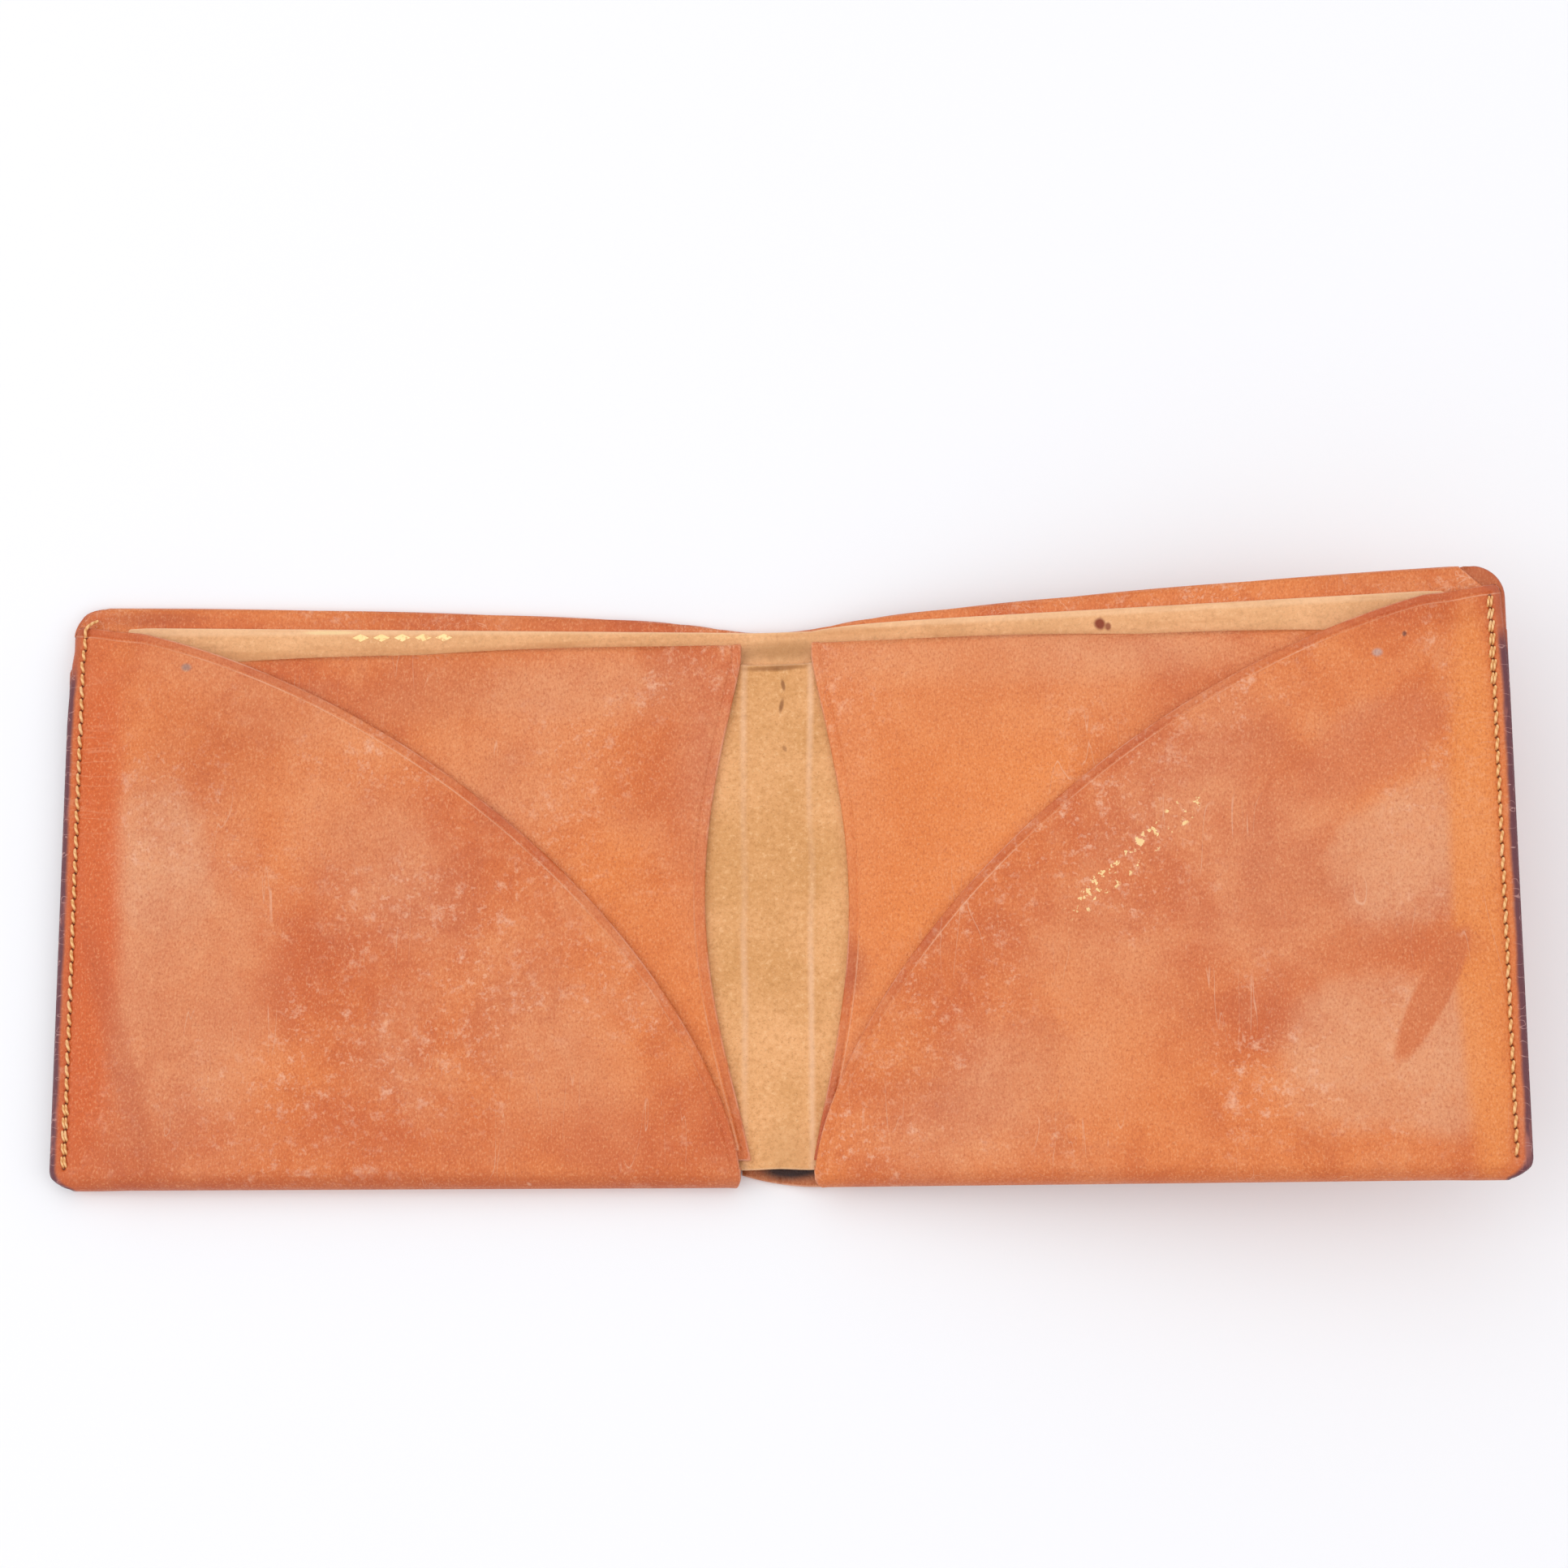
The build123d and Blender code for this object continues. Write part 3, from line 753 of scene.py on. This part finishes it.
ornament = frame["nodes"]["foil_ornament"]
for slot in range(len(ornament.data.materials)):
    ornament.data.materials[slot] = worn_foil("gold_foil")
for name, edges, bend, nodes in (
    ("divider_left", divider_edges[0], bend_left, ("left_divider", "spine_divider")),
    ("divider_right", mirrored(divider_edges[1]), bend_right, ("right_divider",)),
):
    piece = cut_leather(name, edges, divider_surface, tan_leather, spacing=1.8)
    piece.data.materials.append(tan_hide(f"tan_{name}", divider_marks, 0.2, divider_top))
    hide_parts(*nodes)
    bend(piece)

# ---------------------------------------------------------------- lining
# A lower sheet of the same tan leather behind the card panels. Folding has raised a ridge along
# each crease of the spine, and its bottom edge stands off the cover there.

panel_hem_gap = 4.1
panel_slope = 4.2
panel_top = divider_top - 2.4
lining_bottom = 2.8
lining_level = divider_level + tan_leather + 0.3


def lining_top(across):
    """Its top edge runs just under the turned edge of the panels."""
    out = np.clip(outwards(across), 0, leaf_width)
    return panel_top - panel_hem_gap - panel_slope * out / leaf_width


def lining_surface(across, up):
    level = pressed(across, lining_level, cover_leather + tan_leather) + tan_leather
    for crease in (-0.2, spine_width + 0.2):
        level = level + 0.5 * np.exp(-(((across - crease) / 0.62) ** 2))
    between_creases = np.exp(-(((across - spine_middle) / 4.0) ** 2))
    low_end = np.exp(-((np.clip(up - lining_bottom, 0, 99) / 7.0) ** 2))
    level = level - 0.28 * between_creases * (1 - low_end) + 0.12 * low_end * np.sin(across * 1.1 + 0.4)
    return on_bench(across, up, level)


lining_edges = tall_edges(lining_top, lining_bottom)
lining_marks = [
    ((6.6, 81), (0.3, 0.9), 0.8, 0.5, 0.2, (0.27, 0.1, 0.03)),
    ((6.3, 77.6), (0.35, 1.2), 0.8, 0.5, -0.2, (0.27, 0.1, 0.03)),
    ((5.4, 83.9), (4.6, 0.45), 0.75, 0.6, 0.03, (0.3, 0.11, 0.03)),
    ((6.8, 70.5), (0.3, 0.5), 0.6, 0.5, 0.4, (0.3, 0.11, 0.03)),
    ((6.8, 5.5), (3.5, 4.0), 0.35, 0.8, 0.0, (0.5, 0.24, 0.08)),
]
for name, edges, bend, nodes in (
    ("lining_left", lining_edges, bend_left, ("left_lining", "spine_lining")),
    ("lining_right", mirrored(lining_edges), bend_right, ("right_lining",)),
):
    piece = cut_leather(name, edges, lining_surface, tan_leather, spacing=1.0)
    piece.data.materials.append(tan_hide(f"tan_{name}", lining_marks, 0.5, ridge_highlights=True))
    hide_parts(*nodes)
    bend(piece)

# ---------------------------------------------------------------- card panels
# One russet panel in each leaf, its top edge turned under and rounded, its spine edge cut in a
# hollow curve with a line pressed in beside it.

panel_leather = 0.8
panel_level = lining_level + tan_leather + 0.3
panel_seam_level = cover_leather + 2 * tan_leather
panel_bottom = 4.3
panel_hollow = 6.4
turned_radius = 0.7


def panel_rim(out):
    out = np.clip(out, 0, leaf_width)
    return panel_top - panel_slope * out / leaf_width - 0.7 * np.exp(-out / 14)


def panel_surface(across, run_up):
    """The panel's face: past the rim it turns over and goes down behind itself."""
    rim = panel_rim(outwards(across)) - turned_radius
    beyond = np.clip(run_up - rim, 0, None)
    turn = np.clip(beyond / turned_radius, 0, math.pi)
    down = np.clip(beyond - math.pi * turned_radius, 0, None)
    up = np.where(beyond > 0, rim + turned_radius * np.sin(turn) - down, run_up)
    level = pressed(across, panel_level, panel_seam_level) + panel_leather
    level = level + 0.1 * np.exp(-(((up - rim) / 2.5) ** 2)) * ease(outwards(across) / 8)
    return on_bench(across, up, level - turned_radius * (1 - np.cos(turn)))


def panel_edges(foot_in):
    """Edges of the left panel, whose inner foot is this far over the crease."""
    rim_out = lambda x: panel_rim(-x) - turned_radius + math.pi * turned_radius + 0.3
    foot, head = (foot_in, panel_bottom), (-0.4, float(rim_out(-0.4)))
    side_foot = panel_bottom + sheet_corner
    up = np.linspace(foot[1], head[1], 120)
    share = np.clip((up - foot[1]) / (panel_top - 3.4 - foot[1]), 0, 1)
    depth = panel_hollow + (foot[0] + head[0]) / 2
    hollow = foot[0] + (head[0] - foot[0]) * share - depth * np.sin(math.pi * share) ** 1.05
    inner = np.stack([hollow, up], 1)[::-1]
    return [
        (run(foot, (far + sheet_corner, panel_bottom)), "cut", 0.2, 0),
        (corner_arc((far + sheet_corner, side_foot), sheet_corner, 270, 180), "side", 0.2, 0),
        (run((far, side_foot), (far, float(rim_out(far)))), "side", 0.2, 0),
        (curve(rim_out, far, -0.4), "cut", 0.2, 0),
        (inner[:-1], "cut", 0.26, 1.5),
    ]


def on_right(*marks):
    """Marks measured from the right crease, placed on the whole sheet."""
    return [((spine_width + centre[0], centre[1]), *rest) for centre, *rest in marks]


# Pale patches on the card panels: partly rubbed wear, partly painted sheen.
panel_haze = {
    "left": [
        ((-28, 80), (26, 5.5), 0.55, 0.7, 0.06, 2.0),
        ((-42, 62), (17, 12), 0.5, 0.8, 0.9, 2.0),
        ((-6, 62), (5, 20), 0.5, 0.8, 0, 2.0),
    ],
    "right": on_right(
        ((32, 83.5), (34, 5), 0.85, 0.7, -0.02, 2.0),
        ((7, 62), (5, 17), 0.6, 0.8, 0, 2.0),
        ((30, 76), (28, 7), 0.35, 0.8, 0, 2.0),
    ),
}
panel_stains = {
    "left": [
        ((-16, 36), (14, 26), 0.5, 0.8, 0.3, (0.82, 0.24, 0.046)),
        ((-52, 80), (14, 6), 0.35, 0.8, 0.3, (0.46, 0.075, 0.02)),
    ],
    "right": on_right(
        ((20, 55), (30, 32), 0.6, 0.7, 0, (0.84, 0.255, 0.05)),
        ((5.4, 35), (3.4, 4.5), 0.55, 0.6, 0.4, (0.4, 0.065, 0.02)),
    ),
}
panel_line = (1.5, 62.0, 30.0)
for name, edges, turn in (("left", panel_edges(1.2), 1), ("right", mirrored(panel_edges(-0.3)), -1)):
    piece = cut_leather(f"card_panel_{name}", edges, panel_surface, panel_leather * 0.85)
    sheen_and_rubbing, stains_and_shade = panel_haze[name], panel_stains[name]
    dyed = russet_leather(f"russet_panel_{name}", sheen_and_rubbing, stains_and_shade, 0.13 + 0.2 * turn, line=panel_line)
    piece.data.materials.append(dyed)
    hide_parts(f"{name}_pocket_panel", f"{name}_panel_hem")
    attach(piece, f"{name}_leaf")

# ---------------------------------------------------------------- pocket flaps
# The bottom of the cover, folded up over the panels in one piece and cut to a long full curve. A
# line is pressed in along the curve, and the seam at the side is pricked for its stitches.

flap_top = leaf_height - 3.6
flap_level = panel_level + panel_leather + 0.2
leaf_thickness = flap_level + cover_leather
flap_seam_level = panel_seam_level + panel_leather
seam_thickness = flap_seam_level + cover_leather
fullness = 1.6
stitch_line = leaf_width - 2.3
stitch_pitch = 2.05
stitch_places = [3.5 + stitch_pitch * number for number in range(43)]


def top_settle(out, up):
    """The flap sinks beside the seam above the card panel's top edge, where fewer sheets lie under it."""
    return 1.0 * ease((up - 84.6) / 4) * ease((out - leaf_width + 13) / 6)


def flap_surface(across, run_up):
    """The flap's face. Below the bend's start it turns under and goes up the back again."""
    thickness = pressed(across, leaf_thickness, seam_thickness) - top_settle(outwards(across), run_up)
    radius = thickness / 2
    below = np.clip(radius - run_up, 0, None)
    turn = np.clip(below / radius, 0, math.pi)
    under = np.clip(below - math.pi * radius, 0, None)
    up = np.where(below > 0, radius - radius * np.sin(turn) + under, run_up)
    over = radius * (1 + np.cos(turn))
    out = outwards(across)
    slack = np.clip(run_up / 14, 0, 1) * ease((leaf_width - 16 - out) / 30)
    wave = 0.16 * np.sin(out / 13 + 0.6) * np.sin(run_up / 19 + 0.4) + 0.1 * np.sin(out / 31 - run_up / 24)
    seam_dip = 0.12 * np.exp(-(((out - stitch_line) / 0.8) ** 2)) * (run_up > radius)
    return on_bench(across, up, over + wave * slack - seam_dip)


def flap_curve(up):
    """How far out the flap's free edge is at a height."""
    share = np.clip(np.asarray(up, float) / flap_top, 0, 1)
    return leaf_width - (leaf_width - 0.5) * (1 - share**fullness) ** (1 / fullness)


def flap_edges():
    """Edges of the left flap, with the bend below it unrolled."""
    middle, seam = leaf_thickness / 2, seam_thickness / 2
    inner_end = middle - math.pi * middle - (fold_leg - middle)
    outer_end = seam - math.pi * seam - (fold_leg - seam)
    corner = 3.5
    rise = np.linspace(outer_end, corner + 0.8, 44)
    below = np.clip(seam - rise, 0, None)
    turn = np.clip(below / seam, 0, math.pi)
    up = np.where(below > 0, seam - seam * np.sin(turn) + np.clip(below - math.pi * seam, 0, None), rise)
    away = np.clip(corner - up, 0, corner)
    width = leaf_width - corner + np.sqrt(np.maximum(corner**2 - away**2, 0.3))
    side = np.stack([-width, rise], 1)
    spread = (1 - np.cos(np.linspace(0, math.pi, 190))) / 2
    share = np.linspace(0, 1, 190) * 0.45 + spread * 0.55
    height = flap_top * np.sin(share * math.pi / 2) ** (2 / fullness)
    free = np.stack([-flap_curve(height), height], 1)[::-1]
    free = free[(free[:, 1] > middle) & (free[:, 0] > far + 1.2)]
    neck = np.arange(flap_top - 1.2, corner + 0.8, -0.8)
    foot = np.linspace(inner_end, middle, 22)[:-1]
    ramp = np.linspace(leaf_width - 0.5, 1.2, 110)
    thick = pressed(-ramp, leaf_thickness, seam_thickness) / 2
    back = np.stack([-ramp, thick - math.pi * thick - (fold_leg - thick)], 1)
    return [
        (back[:-1], "joined", 0, 0),
        (np.stack([-0.6 - 0.6 * ease((middle - foot - 1.6) / 3.4), foot], 1), "cut", 0.3, 0),
        (np.concatenate([[(-0.6, middle + 0.4)], free[::-1]]), "cut", 0.34, 1.3),
        (corner_arc((far + 2.0, flap_top - 1.2), 1.2, 90, 168, 15), "side", 0.45, 0),
        (np.stack([far + 0.6 * ease((neck - 74) / 16), neck], 1), "side", 0.85, 0),
        (side[::-1][1:], "side", 0.85, 0),
    ]


# Pale patches on the flaps: partly rubbed wear, partly painted sheen, strongest near the outer edges.
flap_haze = {
    "left": [
        ((-94, 52), (9, 14), 0.9, 0.3, 0.3, 2.6),
        ((-90, 34), (13, 26), 0.6, 0.6, 0.1, 2.6),
        ((-90, 20), (12, 12), 0.55, 0.5, 0.3, 2.0),
        ((-58, 52), (9, 17), 0.55, 0.8, 0.7, 2.0),
        ((-31, 22), (9, 17), 0.5, 0.8, 0.5, 2.0),
        ((-74, 78), (18, 7), 0.35, 0.8, -0.4, 2.0),
    ],
    "right": on_right(
        ((94, 49), (14, 10), 0.85, 0.25, 0.55, 3.0),
        ((97, 18), (7, 11.5), 0.9, 0.22, 0.0, 3.0),
        ((87.5, 19.5), (14, 11.5), 0.8, 0.25, 0.1, 2.6),
        ((30, 14), (17, 9), 0.6, 0.8, 0.5, 2.0),
        ((74, 46), (15, 15), 0.5, 0.8, 0.3, 2.0),
        ((62, 62), (17, 9), 0.45, 0.8, 0.8, 2.0),
        ((48, 34), (13, 13), 0.4, 0.8, 0.3, 2.0),
    ),
}
deep, amber = (0.46, 0.075, 0.017), (0.80, 0.25, 0.048)
scarlet, rust = (0.64, 0.105, 0.011), (0.62, 0.155, 0.042)
grey_spot, pale_spot, dark_spot = (0.3, 0.19, 0.16), (0.5, 0.34, 0.29), (0.1, 0.03, 0.025)
# Darker marks on the flaps: stains, with painted shade along the bottom folds and a painted shadow on the
# left flap.
flap_stains_and_shade = {
    "left": [
        ((-104.8, 45), (4.4, 44), 0.85, 0.5, 0.0, scarlet),
        ((-84, 70), (13, 9), 0.35, 0.8, 0.5, deep),
        ((-45, 8), (50, 6), 0.4, 0.8, 0, (0.55, 0.095, 0.02)),
        ((-90.5, 84), (0.75, 0.6), 0.8, 0.5, 0, grey_spot),
        ((-98, 4), (9, 6), 0.35, 0.7, 0.5, deep),
        # Painted shade: a dark strip along the rounded bottom fold.
        ((-60, -0.3), (64, 2.6), 0.55, 0.5, 0.0, (0.42, 0.07, 0.018)),
        # Painted shadow: a dark band slanting down from the outer edge towards the bottom.
        ((-99.5, 22), (2.2, 20), 0.45, 0.5, 0.29, (0.5, 0.1, 0.028)),
    ],
    "right": on_right(
        ((104.6, 42), (4.6, 46), 0.75, 0.25, 0, amber),
        ((89, 66.5), (13, 6), 0.6, 0.3, 0.55, (0.62, 0.16, 0.055)),
        ((91, 35.4), (13, 3.6), 0.5, 0.25, 0.0, rust),
        ((96.5, 28), (2.5, 11.5), 0.85, 0.14, -0.5, rust),
        ((90.4, 80.9), (0.75, 0.6), 0.8, 0.5, 0, pale_spot),
        ((94.6, 83.6), (0.32, 0.4), 0.8, 0.5, 0, dark_spot),
        ((14, 22), (7, 8), 0.3, 0.8, 0.7, amber),
        # Painted shade: a dark strip along the rounded bottom fold.
        ((60, -0.3), (64, 2.4), 0.35, 0.5, 0.0, deep),
    ),
}
worn_script = ((spine_width + 52.5, 51), (13.5, 1.9), 0.71, (0.93, 0.66, 0.29))
flap_foil = {"left": None, "right": worn_script}
flap_line = (1.3, 4.0, 45.0)
for name, edges, turn in (("left", flap_edges(), -1), ("right", mirrored(flap_edges()), 1)):
    seam = -stitch_line if name == "left" else spine_width + stitch_line
    pricked = [(seam, place) for place in stitch_places]
    piece = cut_leather(f"pocket_flap_{name}", edges, flap_surface, cover_leather, True, 1.35, pricked)
    piece.data.materials.append(russet_leather(
        f"russet_flap_{name}", flap_haze[name], flap_stains_and_shade[name], 0.4 * turn,
        line=flap_line, edge_band=1.0, foil=flap_foil[name],
    ))
    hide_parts(f"{name}_pocket_flap", f"{name}_bottom_fold")
    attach(piece, f"{name}_leaf")

# ---------------------------------------------------------------- side seams
# Two waxed linen threads are sewn through the whole stack in saddle stitch. Each stitch on the
# face is a short twisted strand that leans a little and dives into its holes.

strand_radius = 0.26
rear_level = 0.24


def waxed_thread(name):
    """Golden linen with a tight twist, darkened where it has rubbed."""
    dye = Dye(name)
    twist = dye.value("twist")
    ply = dye.node("ShaderNodeMath", {"operation": "SINE"}, twist * 6.2832)
    fibre = dye.noise(3000, 2)
    base = dye.tint(dye.between(ply, -0.9, 0.5), (0.74, 0.34, 0.105), (0.97, 0.56, 0.23))
    base = dye.tint(dye.between(dye.noise(170, 3), 0.5, 0.66) * 0.6, base, (0.95, 0.6, 0.3))
    base = dye.tint(dye.between(fibre, 0.5, 0.3) * 0.2, base, (0.4, 0.18, 0.05))
    return dye.finish(base, dye.between(fibre, 0.3, 0.7, 0.5, 0.68), ply * 0.6 + fibre * 0.3, 0.4)


def lay_strands(name, paths, radius, sides=7):
    """One mesh with a round strand along each path of points, in metres."""
    vertices, faces, twists = [], [], []
    for path, thickness in zip(paths, np.broadcast_to(radius, len(paths))):
        path = np.array(path)
        steps = np.linalg.norm(np.diff(path, axis=0), axis=1)
        length = np.concatenate([[0], np.cumsum(steps)])
        tangent = np.gradient(path, axis=0)
        tangent /= np.linalg.norm(tangent, axis=1)[:, None]
        across = np.cross(tangent, (1.0, 0.02, 0.013))
        across /= np.linalg.norm(across, axis=1)[:, None]
        other = np.cross(tangent, across)
        first = len(vertices)
        for n, point in enumerate(path):
            share = n / (len(path) - 1)
            r = thickness * mm * (0.72 + 0.28 * math.sin(math.pi * share) ** 0.5)
            for k in range(sides):
                angle = 2 * math.pi * k / sides
                vertices.append(point + r * (across[n] * math.cos(angle) + other[n] * math.sin(angle)))
                twists.append(length[n] / mm / 1.1 + k / sides)
        for n in range(len(path) - 1):
            for k in range(sides):
                a, b = first + n * sides + k, first + n * sides + (k + 1) % sides
                faces.append((a, b, b + sides, a + sides))
        faces.append(tuple(first + k for k in reversed(range(sides))))
        faces.append(tuple(len(vertices) - sides + k for k in range(sides)))
    mesh = bpy.data.meshes.new(name)
    mesh.from_pydata([tuple(v) for v in vertices], [], faces)
    mesh.attributes.new("twist", "FLOAT", "POINT").data.foreach_set("value", np.array(twists, np.float32))
    mesh.polygons.foreach_set("use_smooth", [len(p.vertices) == 4 for p in mesh.polygons])
    strands = bpy.data.objects.new(name, mesh)
    bpy.context.collection.objects.link(strands)
    return strands


thread_finish = waxed_thread("waxed_thread")
hand = random.Random(11)
for name, sign, doubled in (("left", -1, range(0, 5)), ("right", 1, range(35, 42))):
    paths, radii = [], []
    for number, (low, high) in enumerate(zip(stitch_places[:-1], stitch_places[1:])):
        for face in ("front", "rear"):
            lean = 0.19 + hand.uniform(-0.05, 0.05)
            aside = hand.uniform(-0.05, 0.05)
            offsets = (aside - 0.24, aside + 0.2) if face == "front" and number in doubled else (aside,)
            for offset in offsets:
                t = np.linspace(0, 1, 11)
                up = low + (high - low) * (0.08 + 0.84 * t)
                out = stitch_line + offset + lean * (2 * t - 1) * (1 if face == "front" else -1)
                bow = np.sin(math.pi * t) ** 0.5
                if face == "front":
                    seam_face = seam_thickness - top_settle(stitch_line, up)
                    over = seam_face - 0.42 + (0.42 + strand_radius * 0.55) * bow
                else:
                    over = rear_level + 0.2 * (1 - bow)
                across = -out if sign < 0 else spine_width + out
                paths.append(on_bench(across, up, over))
                radii.append(strand_radius * (0.84 if len(offsets) > 1 else 1))
    piece = lay_strands(f"seam_stitches_{name}", paths, radii)
    piece.data.materials.append(thread_finish)
    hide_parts(f"{name}_seam_thread")
    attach(piece, f"{name}_leaf")

tail_points = np.array([
    (107.6, 89.4, 3.1), (107.7, 90.2, 3.5), (107.6, 90.9, 3.6),
    (107.2, 91.5, 3.5), (106.6, 92.2, 2.7), (105.7, 92.7, 2.2),
])
fine = np.linspace(0, len(tail_points) - 1, 40)
smooth = [np.interp(fine, np.arange(len(tail_points)), tail_points[:, k]) for k in range(3)]
for _ in range(3):
    smooth = [np.convolve(np.pad(v, 3, mode="edge"), np.ones(7) / 7, "valid") for v in smooth]
thread_tail = lay_strands("loose_thread_end", [on_bench(-smooth[0], smooth[1], smooth[2])], 0.27)
thread_tail.data.materials.append(thread_finish)
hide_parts("left_thread_tail")
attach(thread_tail, "left_leaf")

# ---------------------------------------------------------------- bench, light and camera
# A plain white bench under broad soft lights, seen from above and a little from the bottom side.

bpy.ops.object.select_all(action="DESELECT")
bpy.ops.mesh.primitive_plane_add(size=4)
bench = bpy.context.object
bench.name = "bench"
paper = Dye("white_paper")
paper.shader.inputs["Base Color"].default_value = (0.9, 0.9, 0.905, 1)
paper.shader.inputs["Roughness"].default_value = 0.8
bench.data.materials.append(paper.material)

for name, place, aim, size, power in (
    ("softbox_top", (-0.3, 0.35, 1.35), (0, 0, 0), 2.0, 7.6),
    ("softbox_left", (-1.1, -0.1, 0.9), (0, 0, 0), 0.8, 2.8),
    ("softbox_right", (1.0, -0.3, 1.0), (0, 0, 0), 0.8, 2.4),
):
    bpy.ops.object.light_add(type="AREA", location=place)
    lamp = bpy.context.object
    lamp.name = name
    lamp.data.size, lamp.data.energy = size, power
    lamp.rotation_euler = (Vector(aim) - Vector(place)).to_track_quat("-Z", "Y").to_euler()

world = bpy.data.worlds.new("studio")
bpy.context.scene.world = world
world.use_nodes = True
world.node_tree.nodes["Background"].inputs[0].default_value = (0.96, 0.96, 1.0, 1)
world.node_tree.nodes["Background"].inputs[1].default_value = 0.755
bpy.context.scene.view_settings.view_transform = "Standard"

bpy.ops.object.camera_add(location=(0.001765, -0.0599, 0.45))
camera = bpy.context.object
camera.rotation_euler = (math.radians(9.804), 0, math.radians(-0.261))
camera.rotation_mode = "XYZ"
camera.data.sensor_width = 36
camera.data.lens = 3448.4 / 1932 * 36
bpy.context.scene.camera = camera
